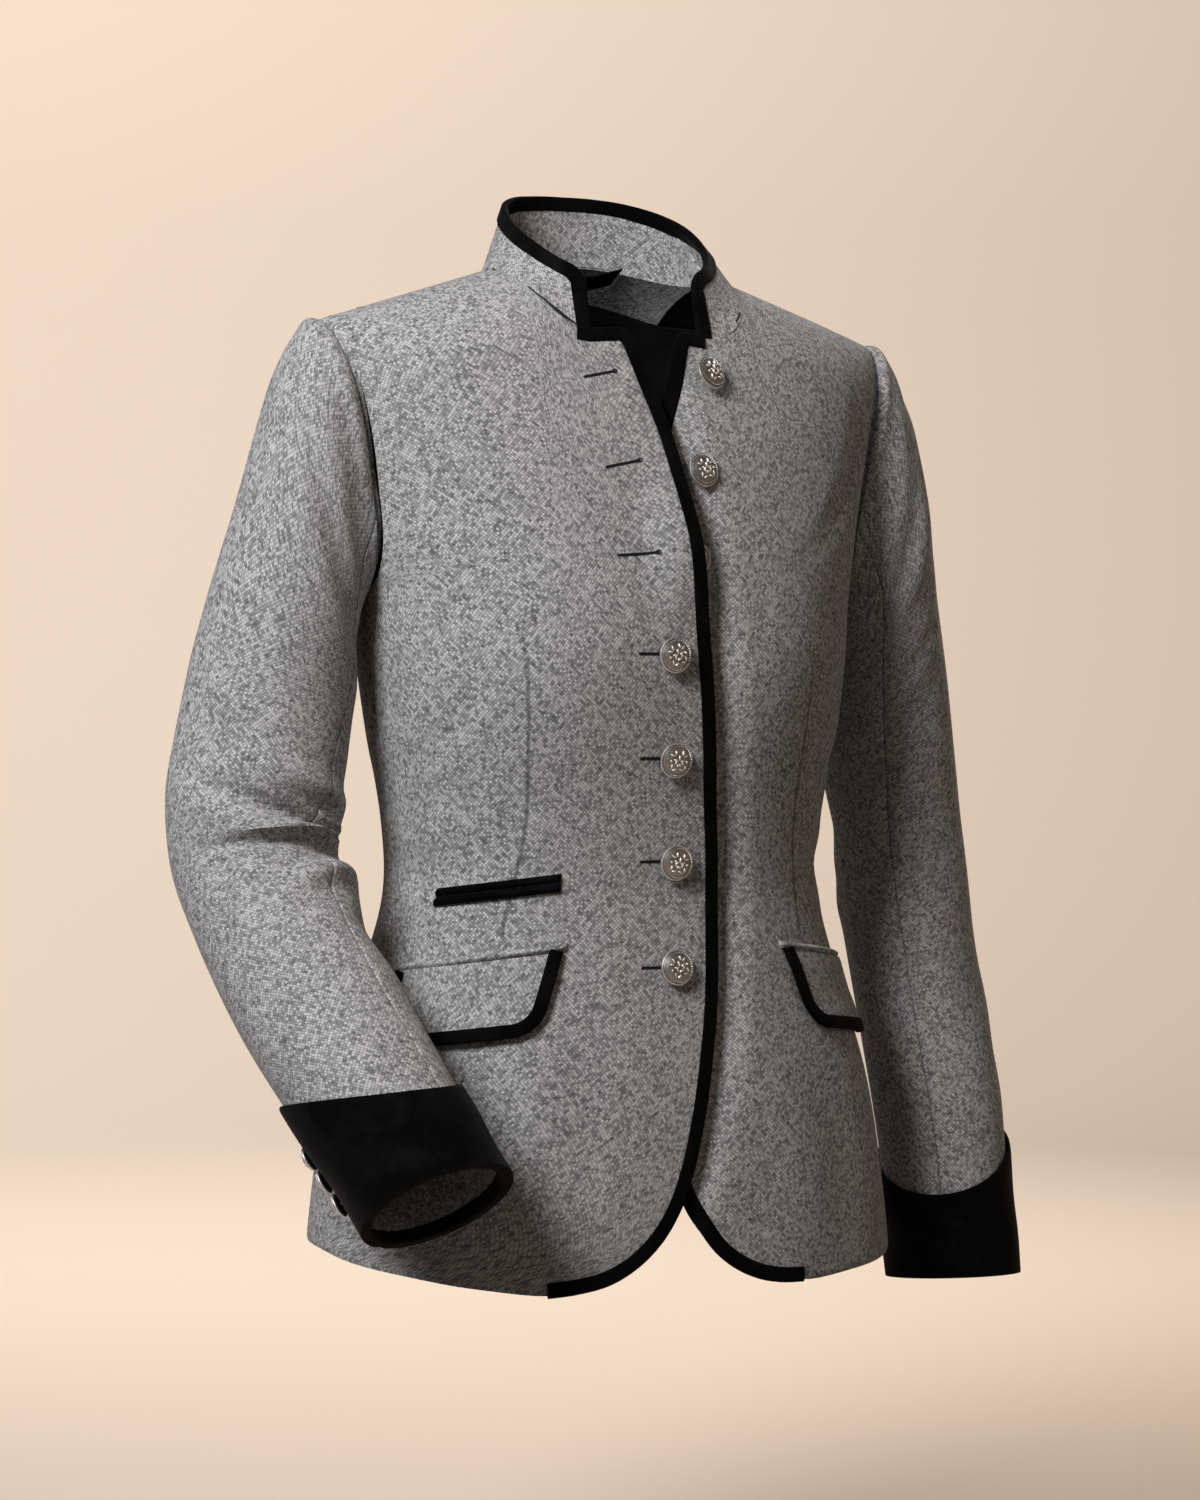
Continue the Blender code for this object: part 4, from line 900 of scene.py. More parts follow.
@dataclass(frozen=True)
class Wool:
    """Melange wool in a diagonal hopsack of a light and a dark yarn."""

    name: str = "wool_melange"
    dark: Colour = (0.052, 0.051, 0.053, 1.0)
    light: Colour = (0.60, 0.595, 0.59, 1.0)
    pitch: float = 0.00178
    relief: float = 0.00014
    yarn: float = 0.92       # how much lighter the light yarn is
    patches: float = 0.34    # what the patches add to it
    flecks: float = 0.26     # what the flecks add to it
    knot: float = 0.46       # how much lighter the top of a knot is
    ground: float = 0.42     # how light the ground between the knots is
    groove: float = 2.6      # depth of a dart's seam, in heights of the weave
    darts: bool = False

    def build(self, effects: Effects) -> Material:
        """Builds the material."""
        material, n, shader = new_material(self.name)
        uv = n.uv("cloth")
        weave = placed_group(n, effects.weave, uv)
        weave.inputs["Pitch"].default_value = self.pitch
        heather = placed_group(n, effects.heather, uv)
        yarn = n.plus(n.times(weave.outputs["Yarn"], self.yarn), n.times(heather.outputs["Patches"], self.patches))
        yarn = n.plus(yarn, n.times(heather.outputs["Flecks"], self.flecks))
        knot = n.plus(n.times(weave.outputs["Knot"], self.knot), self.ground)
        share = n.times(knot, yarn, clamp=True)
        share = n.times(share, n.range(heather.outputs["Fibres"], 0.3, 0.7, 0.82, 1.15), clamp=True)
        colour = n.mix(share, self.dark, self.light)
        height = n.plus(n.times(weave.outputs["Height"], 0.75), n.times(heather.outputs["Fibres"], 0.45))
        if self.darts:
            groove = n.parts(n.uv("dart"))
            away = n.math("ABSOLUTE", groove[0])
            line = n.times(n.range(away, 0.0004, 0.0016, 1.0, 0.0), groove[1])
            # Painted shade: the colour is darkened towards the dark yarn along the dart's seam, for the shadow in its
            # groove; the groove itself is the bump below.
            colour = n.mix(n.times(line, 0.62), colour, self.dark)
            height = n.math("SUBTRACT", height, n.times(line, self.groove))
        n.put(shader.inputs["Base Color"], colour)
        n.bump(shader, height, 0.9, self.relief)
        n.put(shader.inputs["Roughness"], n.range(heather.outputs["Fibres"], 0.2, 0.8, 0.82, 0.98))
        set_values(shader, Sheen_Weight=0.10, Sheen_Roughness=0.5, Specular_IOR_Level=0.2)
        return material


@dataclass(frozen=True)
class Velvet:
    """Black cotton velvet with a short pile."""

    name: str = "velvet_black"
    deep: Colour = (0.0009, 0.0009, 0.0011, 1.0)
    brushed: Colour = (0.0040, 0.0039, 0.0048, 1.0)

    def build(self, effects: Effects) -> Material:
        """Builds the material."""
        material, n, shader = new_material(self.name)
        nap = placed_group(n, effects.nap, n.place())
        share = n.times(nap.outputs["Marks"], n.range(nap.outputs["Pile"], 0.3, 0.7, 0.5, 1.1))
        n.put(shader.inputs["Base Color"], n.mix(share, self.deep, self.brushed))
        n.bump(shader, nap.outputs["Pile"], 0.7, 0.00025)
        n.put(shader.inputs["Roughness"], n.range(nap.outputs["Marks"], 0.0, 1.0, 0.95, 0.82))
        set_values(shader, Sheen_Weight=0.028, Sheen_Roughness=0.35, Specular_IOR_Level=0.06)
        return material


@dataclass(frozen=True)
class Lining:
    """Dark twill lining with a soft lustre, its charcoal made darker still as painted shade for the inside of the
    jacket.
    """

    name: str = "lining_charcoal_and_shade"
    # Painted shade: darker than the lining's own charcoal, for the shade inside the neck, the fronts and the sleeves.
    colour: Colour = (0.0065, 0.0065, 0.0070, 1.0)

    def build(self) -> Material:
        """Builds the material."""
        material, n, shader = new_material(self.name)
        uv = n.uv("cloth")
        wave = n.add("ShaderNodeTexWave", wave_type="BANDS", bands_direction="DIAGONAL")
        n.put(wave.inputs["Vector"], uv)
        wave.inputs["Scale"].default_value = 420.0
        soft = n.noise(uv, 60.0, 3.0)
        lighter = tuple(value * 1.8 for value in self.colour[:3]) + (1.0,)
        n.put(shader.inputs["Base Color"], n.mix(n.times(soft, wave.outputs["Fac"]), self.colour, lighter))
        n.bump(shader, wave.outputs["Fac"], 0.4, 0.0001)
        n.put(shader.inputs["Roughness"], n.range(soft, 0.3, 0.7, 0.55, 0.72))
        set_values(shader, Specular_IOR_Level=0.3)
        return material


@dataclass(frozen=True)
class Metal:
    """Antique silver with darkened hollows."""

    name: str = "metal_antique"
    bright: Colour = (0.90, 0.88, 0.85, 1.0)
    dark: Colour = (0.030, 0.027, 0.024, 1.0)

    def build(self) -> Material:
        """Builds the material."""
        material, n, shader = new_material(self.name)
        worn = n.parts(n.uv("worn"))
        place = n.place()
        stain = n.noise(place, 700.0, 4.0, 0.6)
        share = n.times(worn[0], n.range(stain, 0.35, 0.65, 0.72, 1.0), clamp=True)
        n.put(shader.inputs["Base Color"], n.mix(share, self.dark, self.bright))
        n.put(shader.inputs["Roughness"], n.range(stain, 0.3, 0.7, 0.40, 0.56))
        n.bump(shader, n.noise(place, 1800.0, 3.0, 0.6), 0.25, 0.00012)
        set_values(shader, Metallic=1.0)
        return material


@dataclass(frozen=True)
class Thread:
    """Charcoal sewing thread."""

    name: str = "thread_charcoal"
    colour: Colour = (0.006, 0.006, 0.007, 1.0)

    def build(self) -> Material:
        """Builds the material."""
        material, n, shader = new_material(self.name)
        grain = n.noise(n.place(), 4200.0, 2.0)
        lighter = tuple(value * 2.2 for value in self.colour[:3]) + (1.0,)
        n.put(shader.inputs["Base Color"], n.mix(grain, self.colour, lighter))
        n.put(shader.inputs["Roughness"], n.range(grain, 0.3, 0.7, 0.6, 0.8))
        set_values(shader, Specular_IOR_Level=0.3)
        return material


@dataclass
class Wardrobe:
    """All finishes of the jacket."""

    effects: Effects = field(default_factory=Effects)
    wool: Material | None = None
    wool_fronts: Material | None = None
    velvet: Material | None = None
    lining: Material | None = None
    metal: Material | None = None
    thread: Material | None = None

    def build(self) -> "Wardrobe":
        """Builds each finish once."""
        self.wool = Wool().build(self.effects)
        self.wool_fronts = Wool(name="wool_melange_fronts", darts=True).build(self.effects)
        self.velvet = Velvet().build(self.effects)
        self.lining = Lining().build()
        self.metal = Metal().build()
        self.thread = Thread().build()
        return self


def activate(thing: Thing) -> None:
    """Selects one object alone."""
    bpy.ops.object.select_all(action="DESELECT")
    bpy.context.view_layer.objects.active = thing
    thing.select_set(True)


def linked(name: str, data: bpy.types.ID) -> Thing:
    """Makes an object of a mesh, a light or a camera and links it to the scene."""
    thing = bpy.data.objects.new(name, data)
    bpy.context.scene.collection.objects.link(thing)
    return thing


def from_bmesh(name: str, bm: bmesh.types.BMesh) -> Thing:
    """Turns a finished bmesh into a linked object."""
    mesh = bpy.data.meshes.new(name)
    bm.to_mesh(mesh)
    bm.free()
    return linked(name, mesh)


def joined(parts: list[Thing], degrees: float) -> Thing:
    """Joins objects into the first one, smooth across edges of less than so many degrees."""
    bpy.ops.object.select_all(action="DESELECT")
    for part in parts:
        part.select_set(True)
    bpy.context.view_layer.objects.active = parts[0]
    bpy.ops.object.join()
    bpy.ops.object.shade_smooth_by_angle(angle=math.radians(degrees))
    return parts[0]


def spun(name: str, section: list[tuple[float, float]], steps: int, merge: float, inside: bool = False) -> Thing:
    """Spins a half section about the upright axis.

    Args:
        name: The object's name.
        section: Its radii and heights.
        steps: How many parts the turn has.
        merge: The distance below which points are merged.
        inside: Whether its faces look inwards.

    Returns:
        The object.
    """
    mesh = bpy.data.meshes.new(name)
    mesh.from_pydata([(x, 0.0, z) for x, z in section], [(i, i + 1) for i in range(len(section) - 1)], [])
    thing = linked(name, mesh)
    activate(thing)
    bpy.ops.object.mode_set(mode="EDIT")
    bpy.ops.mesh.select_all(action="SELECT")
    bpy.ops.mesh.spin(steps=steps, angle=2 * math.pi, center=(0, 0, 0), axis=(0, 0, 1))
    bpy.ops.mesh.select_all(action="SELECT")
    bpy.ops.mesh.remove_doubles(threshold=merge)
    bpy.ops.mesh.normals_make_consistent(inside=inside)
    bpy.ops.object.mode_set(mode="OBJECT")
    return thing


def lengths(points: Array) -> tuple[Array, Array]:
    """Real lengths over a grid of points, from its first column and from its first row."""
    across = np.linalg.norm(np.diff(points, axis=1), axis=-1)
    up = np.linalg.norm(np.diff(points, axis=0), axis=-1)
    return (np.concatenate([np.zeros((len(points), 1)), np.cumsum(across, axis=1)], 1),
            np.concatenate([np.zeros((1, points.shape[1])), np.cumsum(up, axis=0)], 0))


def cloth_uv(points: Array) -> Array:
    """Real lengths across and up a grid of points, for the weave."""
    u, v = lengths(points)
    middle = points.shape[1] // 2
    return np.stack([u - u[:, middle:middle + 1], v], -1)


@dataclass
class Sewn:
    """Makes walls of cloth and dresses them.

    Attributes:
        wardrobe: The finishes.
        made: The pieces made so far, by name.
        cuts: The flat width, length and area of each piece of cloth.
    """

    wardrobe: Wardrobe
    made: dict[str, Thing] = field(default_factory=dict)
    cuts: dict[str, Triple] = field(default_factory=dict)

    def wall(self, name: str, points: Array, thick: float, looks: tuple[Material, ...], slot: str,
             core: Array | None = None, keep: Face | None = None, uv: Array | None = None,
             dart: Array | None = None, node: str | None = None) -> Thing:
        """A wall of cloth whose outer face is a grid of points.

        Args:
            name: The piece's name.
            points: The outer face.
            thick: The wall's thickness.
            looks: The outer finish and, where it differs, the inner one.
            slot: A material slot's name; not used.
            core: A point on the inner side for each point, at first the body's own axis.
            keep: The half of the body that it stays in.
            uv: Real lengths over the face.
            dart: Distance from the dart and its strength, for each point.
            node: The solid that it stands for, at first the one of the same name.

        Returns:
            The piece.
        """
        core = points * np.array([0.0, 0.0, 1.0]) if core is None else core
        across, up = points[:-1, 1:] - points[:-1, :-1], points[1:, :-1] - points[:-1, :-1]
        turned = np.sum(np.cross(across, up) * (core[:-1, :-1] - points[:-1, :-1])) > 0
        rows, columns = points.shape[:2]
        bm = bmesh.new()
        bmesh.ops.create_grid(bm, x_segments=columns - 1, y_segments=rows - 1, size=1.0)
        flat = np.array([vert.co[:2] for vert in bm.verts])
        order = np.lexsort((np.round(flat[:, 0], 5), np.round(flat[:, 1], 5)))
        bm.verts.ensure_lookup_table()
        places = points.reshape(-1, 3)
        for index, spot in enumerate(order):
            bm.verts[int(spot)].co = places[index]
        if turned:
            bmesh.ops.reverse_faces(bm, faces=bm.faces)
        thing = from_bmesh(name, bm)
        mesh = thing.data
        self.write_uv(mesh, "cloth", (cloth_uv(points) if uv is None else uv).reshape(-1, 2), order)
        if dart is not None:
            self.write_uv(mesh, "dart", dart.reshape(-1, 2), order)
        for look in looks:
            mesh.materials.append(look)
        solid = thing.modifiers.new("wall", "SOLIDIFY")
        solid.thickness = thick
        solid.offset = -1.0
        solid.use_even_offset = False
        solid.material_offset = 1 if len(looks) > 1 else 0
        activate(thing)
        bpy.ops.object.modifier_apply(modifier="wall")
        if keep is not None:
            sign = -1.0 if keep is Face.FRONT else 1.0
            co = np.zeros(len(mesh.vertices) * 3)
            mesh.vertices.foreach_get("co", co)
            co = co.reshape(-1, 3)
            co[:, 1] = np.maximum(co[:, 1] * sign, SEAM / 2) * sign
            mesh.vertices.foreach_set("co", co.ravel())
        bpy.ops.object.shade_smooth_by_angle(angle=math.radians(50.0))
        thing = self.dress(thing, (node or name,))
        self.cuts[thing.name] = self.cut_of(points)
        return thing

    @staticmethod
    def cut_of(points: Array) -> Triple:
        """The flat width, length and area of the cloth over a grid of points."""
        across, up = points[:, 1:] - points[:, :-1], points[1:] - points[:-1]
        width = float(np.linalg.norm(across, axis=-1).sum(axis=1).max())
        length = float(np.linalg.norm(up, axis=-1).sum(axis=0).max())
        area = float(np.linalg.norm(np.cross(across[:-1], up[:, :-1]), axis=-1).sum())
        width, length = max(width, LEAST_SIDE), max(length, LEAST_SIDE)
        return width, length, min(max(area, LEAST_FILL * width * length), width * length)

    @staticmethod
    def write_uv(mesh: bpy.types.Mesh, name: str, values: Array, order: Array) -> None:
        """Writes a UV map from a value for each grid point."""
        layer = mesh.uv_layers.new(name=name)
        corner = np.zeros(len(mesh.loops), dtype=np.int64)
        mesh.loops.foreach_get("vertex_index", corner)
        by_vertex = np.zeros_like(values)
        by_vertex[order] = values
        layer.data.foreach_set("uv", by_vertex[corner].astype(np.float32).ravel())

    def dress(self, thing: Thing, nodes: tuple[str, ...]) -> Thing:
        """Puts a piece into the frame.

        Args:
            thing: The finished piece.
            nodes: The solids that it stands for.

        Returns:
            The piece.
        """
        real = [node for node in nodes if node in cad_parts]
        if real:
            thing.name = "look_" + real[0] if thing.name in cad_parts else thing.name
            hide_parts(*real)
        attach(thing, "root")
        self.made[thing.name] = thing
        LOG.info("%s: %d faces", thing.name, len(thing.data.polygons))
        return thing


FRONT_COLUMNS = (0.0, 0.04, 0.08, 0.13, 0.19, 0.26, 0.34, 0.43, 0.52, 0.61, 0.70, 0.80, 0.90, 1.0)
LOWER_ROWS = (0.0, 0.05, 0.12, 0.19, 0.26, 0.34, 0.42, 0.50, 0.58, 0.66, 0.74, 0.82, 0.91, 1.0)
UPPER_ROWS = (0.0, 0.10, 0.20, 0.32, 0.45, 0.58, 0.70, 0.80, 0.88, 0.94, 0.98, 1.0)


@dataclass
class Panel:
    """One front or back of the body."""

    side: Side
    face: Face
    parts: int = 6       # how many times finer than the solid's grid
    CORNERS = {Side.RIGHT: -0.6200, Side.LEFT: -0.6275}    # where a front edge's rounded corner ends

    def side_line(self, hem: float) -> Array:
        """The side seam and armhole, as turn and height."""
        sign = self.side.sign
        turn = sign * (math.pi / 2 + (-SIDE_TURN if self.face is Face.FRONT else SIDE_TURN))
        low = hem + finer(LOWER_ROWS, self.parts) * (UNDERARM - hem)
        high = UNDERARM + finer(UPPER_ROWS, self.parts)[1:] * (-SHOULDER_DROP - UNDERARM)
        x = sign * read(ARMHOLE, 1 if self.face is Face.FRONT else 2, high)
        upper = np.stack([Form.turn_of(x, high, self.face), high], -1)
        return np.concatenate([np.stack([np.full(len(low), turn), low], -1), upper])

    def neck_line(self, count: int) -> Array:
        """The neckline as turn and height, along the base of the collar."""
        right = self.side is Side.RIGHT
        last = -92.0 if right else -268.0
        first = (Neck.FIRST if right else Neck.LAST) if self.face is Face.FRONT else -180.0
        at = np.linspace(first, last, count)
        x, z = read(COLLAR, 1, at), read(COLLAR, 2, at)
        return np.stack([Form.turn_of(x, z, self.face), z], -1)

    def roof_line(self) -> Array:
        """The shoulder seam as turn and height."""
        x = np.linspace(NECK_POINT, SHOULDER_X, 12)
        z = Form.shoulder_z(x)
        return np.stack([Form.turn_of(self.side.sign * x, z, self.face), z], -1)

    @staticmethod
    def fill(left: Array, right: Array, bottom: Array, top: Array, shares: Array) -> Array:
        """Fills the area inside four lines, rows from the bottom line to the top line."""
        u = shares[None, :, None]
        v = ((right[:, 1] - right[0, 1]) / (right[-1, 1] - right[0, 1]))[:, None, None]
        ends = (1 - v) * bottom[None] + v * top[None]
        bend_left = left[:, None] - (1 - v) * bottom[0] - v * top[0]
        bend_right = right[:, None] - (1 - v) * bottom[-1] - v * top[-1]
        return ends + (1 - u) ** 6 * bend_left + u ** 2 * bend_right

    def front_grid(self) -> Array:
        """The outer face of a front as turn and height."""
        sign, k = self.side.sign, self.parts
        hem_side = float(Form.hem_z(sign * math.pi / 2))
        right = self.side_line(hem_side)
        edge = Form.front_line(self.side)
        corner = self.CORNERS[self.side]
        own = edge[edge[:, 1] > corner - 1e-6]
        heights = corner + (right[:, 1] - hem_side) / (-SHOULDER_DROP - hem_side) * (edge[0, 1] - corner)
        order = np.argsort(own[:, 1])
        left = np.stack([np.interp(heights, own[order, 1], own[order, 0]), heights], -1)
        left[-1] = edge[0]
        rest = edge[edge[:, 1] < corner]
        rest = rest[np.argsort(np.abs(rest[:, 0]))]
        turns = np.linspace(abs(edge[-1, 0]) + 0.03, math.pi / 2 - HEM_TURN, 40) * sign
        tail = np.concatenate([[edge[-1]], np.stack([turns, Form.hem_z(turns)], -1)])
        bottom = np.concatenate([along_line(np.concatenate([[left[0]], rest]), 4 * k + 1),
                                 along_line(tail, 9 * k + 1)[1:]])
        bottom[-1] = right[0]
        neck = self.neck_line(6 * k + 1)
        top = np.concatenate([along_line(np.array([edge[0], neck[0]]), k + 1)[:-1], neck,
                              along_line(self.roof_line(), 6 * k + 1)[1:]])
        top[-1] = right[-1]
        return self.fill(left, right, bottom, top, finer(FRONT_COLUMNS, k))

    def back_grid(self) -> Array:
        """The outer face of a back as turn and height, from the centre seam to the side."""
        sign, k = self.side.sign, self.parts
        hem_side = float(Form.hem_z(sign * math.pi / 2))
        right = self.side_line(hem_side)
        centre = sign * (math.pi - CENTRE_TURN)
        low = float(Form.hem_z(math.pi))
        heights = low + (right[:, 1] - hem_side) / (-SHOULDER_DROP - hem_side) * (COLLAR[CENTRE_BACK][2] - low)
        left = np.stack([np.full(len(heights), centre), heights], -1)
        turns = np.linspace(centre, sign * (math.pi / 2 + HEM_TURN), 10 * k + 1)
        bottom = np.stack([turns, Form.hem_z(turns)], -1)
        neck = self.neck_line(5 * k + 1)
        neck[0, 0] = centre
        top = np.concatenate([neck, along_line(self.roof_line(), 5 * k + 1)[1:]])
        top[0], top[-1] = left[-1], right[-1]
        return self.fill(left, right, bottom, top, np.linspace(0, 1, 10 * k + 1))

    @staticmethod
    def seam_dip(points: Array, open_left: bool, open_bottom: bool) -> Array:
        """How far the cloth turns in along its seams, for each point."""
        u, v = lengths(points)
        near = np.minimum(u[:, -1:] - u, v[-1:] - v)
        if not open_left:
            near = np.minimum(near, u)
        return seam_turn(near) - (0.0007 * (1 - smooth(v / 0.0025)) if open_bottom else 0)

    def dart_map(self, points: Array) -> Array:
        """Distance from the dart and its strength, for each point of a front."""
        rows = np.array(DART_RIGHT if self.side is Side.RIGHT else DART_LEFT)
        keyed = tuple((z, x) for x, z in rows)
        line = read(keyed, 1, points[..., 2])
        top, low = rows[0, 1], rows[-1, 1]
        strong = smooth((top + 0.004 - points[..., 2]) / 0.05) * 0.75 + 0.25 * (points[..., 2] < top)
        strong = strong * (points[..., 2] > low - 0.004)
        return np.stack([points[..., 0] - line, strong], -1)

    def make(self, sewn: Sewn) -> Thing:
        """Builds and dresses the panel."""
        front = self.face is Face.FRONT
        grid = self.front_grid() if front else self.back_grid()
        grid = with_margin(with_margin(grid, True, True, True), not front, True, False)
        turn, z = grid[..., 0], grid[..., 1]
        lap = Form.lap(self.side, turn, z) if front else 0 * z
        flat = Form.body(turn, z, lap)
        out = lap + Form.relief(turn, z) + self.seam_dip(flat, front, True)
        points = Form.body(turn, z, out)
        points[-1, :, 1] += (-SEAM if front else SEAM) / 2
        uv = cloth_uv(flat)
        uv[..., 0] -= uv[:, :1, 0] - flat[:, :1, 0]
        uv[..., 1] += flat[:1, :, 2]
        outer = sewn.wardrobe.wool_fronts if front else sewn.wardrobe.wool
        return sewn.wall(f"{self.face.value}_{self.side.value}_cloth", points, WALL,
                         (outer, sewn.wardrobe.lining), "wool", keep=self.face, uv=uv,
                         dart=self.dart_map(flat) if front else None,
                         node=f"{self.face.value}_{self.side.value}")


@dataclass
class Sleeve:
    """One sleeve: a top sleeve and an under sleeve, with its turned-back cuff."""

    side: Side
    rows: int = 170
    round_top: int = 84
    round_under: int = 42
    cuff_height: float = 0.080
    cuff_slant: float = 0.026
    # Turned in under the armhole seam: depth, how far back, how far down the cloth
    TURNED_IN = ((0.0034, 0.0055, 0.0070), (0.0022, 0.0006, 0.0022))
    CUFF_RUN = 0.068     # how far down its own height the cuff has its rows
    # The cuff's upper edge: how far down, how far out
    CUFF_TOP = ((0.0010, 0.0004), (0.0002, 0.0010), (0.0, 0.0018), (0.0004, 0.0027), (0.0013, 0.0033))
    # The cuff's mouth: how far past the sleeve's end, how far out
    CUFF_MOUTH = ((0.0, 0.0043), (0.0006, 0.0037), (0.0010, 0.0026), (0.0011, 0.0010), (0.0010, -0.0006),
                  (0.0005, -0.0020), (-0.0006, -0.0027), (-0.0030, -0.0030), (-0.0060, -0.0030),
                  (-0.0076, -0.0029), (-0.0082, -0.0026))

    def panel(self, under: bool) -> tuple[Array, Array, Array]:
        """The outer face of a top or under sleeve.

        Args:
            under: Whether it is the under sleeve.

        Returns:
            The points, a core point for each, and the real lengths over the face.
        """
        end = Tube.END[self.side] - 0.006
        along = np.linspace(0.0, end, self.rows)
        inner = 16.0 if self.side is Side.RIGHT else 0.0
        front = np.interp(along, [0, 0.25, end], [118.0, 128.0 + inner, 132.0 + inner])
        back = np.interp(along, [0, 0.25, end], [-112.0, -105.0, Tube.VENT[self.side] - 6.0])
        gap = 0.35
        low, high = (front + gap, back + 360.0 - gap) if under else (back, front)
        u = np.linspace(0, 1, self.round_under if under else self.round_top)
        theta = np.radians(low[:, None] + (high - low)[:, None] * u[None])
        both = np.stack([along[:, None] + 0 * theta, theta], -1)
        both = with_margin(with_margin(both, True, False, True), True, True, False)
        along, theta = both[..., 0], both[..., 1]
        flat = Tube.point(self.side, along, theta)
        across, _ = lengths(flat)
        near = np.minimum(across, across[:, -1:] - across)
        near = np.minimum(near, along * Tube.LENGTH[self.side])
        points = Tube.point(self.side, along, theta, seam_turn(near))
        core = Tube.core(self.side, along)
        axis = unit(Tube.core(self.side, np.array(0.03)) - Tube.core(self.side, np.array(0.0)))
        inward = unit(core[0] - points[0])
        turned_in = [points[0] + inward * deep - axis * back for deep, back, _ in self.TURNED_IN]
        uv = cloth_uv(flat)
        uv[..., 1] = uv[..., 1].mean(axis=1, keepdims=True)    # the inner side is shorter, which would shear it
        low = [uv[0] - (0.0, run) for _, _, run in self.TURNED_IN]
        return (np.concatenate([turned_in, points]), np.concatenate([core[:1], core[:1], core]),
                np.concatenate([low, uv]))

    def cuff_place(self, share: Array, degrees: Array, out: Array | float) -> Array:
        """A point of the cuff: share of its height, degrees round it, how far out."""
        theta = np.radians(degrees)
        height = self.cuff_height + self.cuff_slant * np.cos(theta + math.pi / 4)
        along = Tube.END[self.side] - height * (1 - share) / Tube.LENGTH[self.side]
        return Tube.point(self.side, along, theta, out)

    def cuff(self, sewn: Sewn) -> Thing:
        """The turned-back cuff, folded in at its mouth and open at its vent at the back."""
        vent = Tube.VENT[self.side]
        length = Tube.LENGTH[self.side]
        degrees = np.linspace(vent + 0.8, vent + 359.2, 170)
        theta = np.radians(degrees)
        height = self.cuff_height + self.cuff_slant * np.cos(theta + math.pi / 4)
        from_vent = np.minimum(degrees - degrees[0], degrees[-1] - degrees) * 0.0008
        tuck = -0.0009 * (1 - smooth(from_vent / 0.0035))
        rows = list(self.CUFF_TOP)
        rows += [(float(d), 0.0035 + 0.0010 * float(d) / 0.08) for d in np.linspace(0.003, 0.066, 28)]
        points, core = [], []
        for down, out in rows:
            share = down / self.CUFF_RUN
            wave = 0.0007 * np.sin(4 * theta + 6 * share) * math.sin(math.pi * min(share, 1.0))
            along = Tube.END[self.side] - (height - down * height / self.CUFF_RUN) / length
            points.append(Tube.point(self.side, along, theta, out + wave + tuck))
            core.append(Tube.core(self.side, along))
        for past, out in self.CUFF_MOUTH:
            along = Tube.END[self.side] + past / length + 0 * theta
            points.append(Tube.point(self.side, along, theta, out + tuck))
            core.append(Tube.point(self.side, along, theta, -0.0012 if past > -0.0009 else 0.0))
        return sewn.wall(f"cuff_{self.side.value}_velvet", np.stack(points), 0.0010, (sewn.wardrobe.velvet,),
                         "velvet", core=np.stack(core), node=f"cuff_{self.side.value}")

    def face_mouth(self, thing: Thing, wool: int, lining: int) -> None:
        """Turns the inner side near the mouth from lining to the sleeve's own wool."""
        end = Vector(Tube.core(self.side, np.array(Tube.END[self.side])).tolist())
        back = Vector(Tube.core(self.side, np.array(Tube.END[self.side] - 0.06)).tolist())
        axis = (end - back).normalized()
        for face in thing.data.polygons:
            if face.material_index == lining and (face.center - end).dot(axis) > -0.050:
                face.material_index = wool

    def make(self, sewn: Sewn) -> None:
        """Builds and dresses the sleeve and its cuff."""
        for name, under in (("top", False), ("under", True)):
            points, core, uv = self.panel(under)
            looks = (sewn.wardrobe.wool, sewn.wardrobe.lining)
            thing = sewn.wall(f"sleeve_{self.side.value}_{name}_cloth", points, WALL, looks, "wool", core=core,
                              uv=uv, node=f"sleeve_{self.side.value}_{name}")
            self.face_mouth(thing, 0, 1)
        self.cuff(sewn)


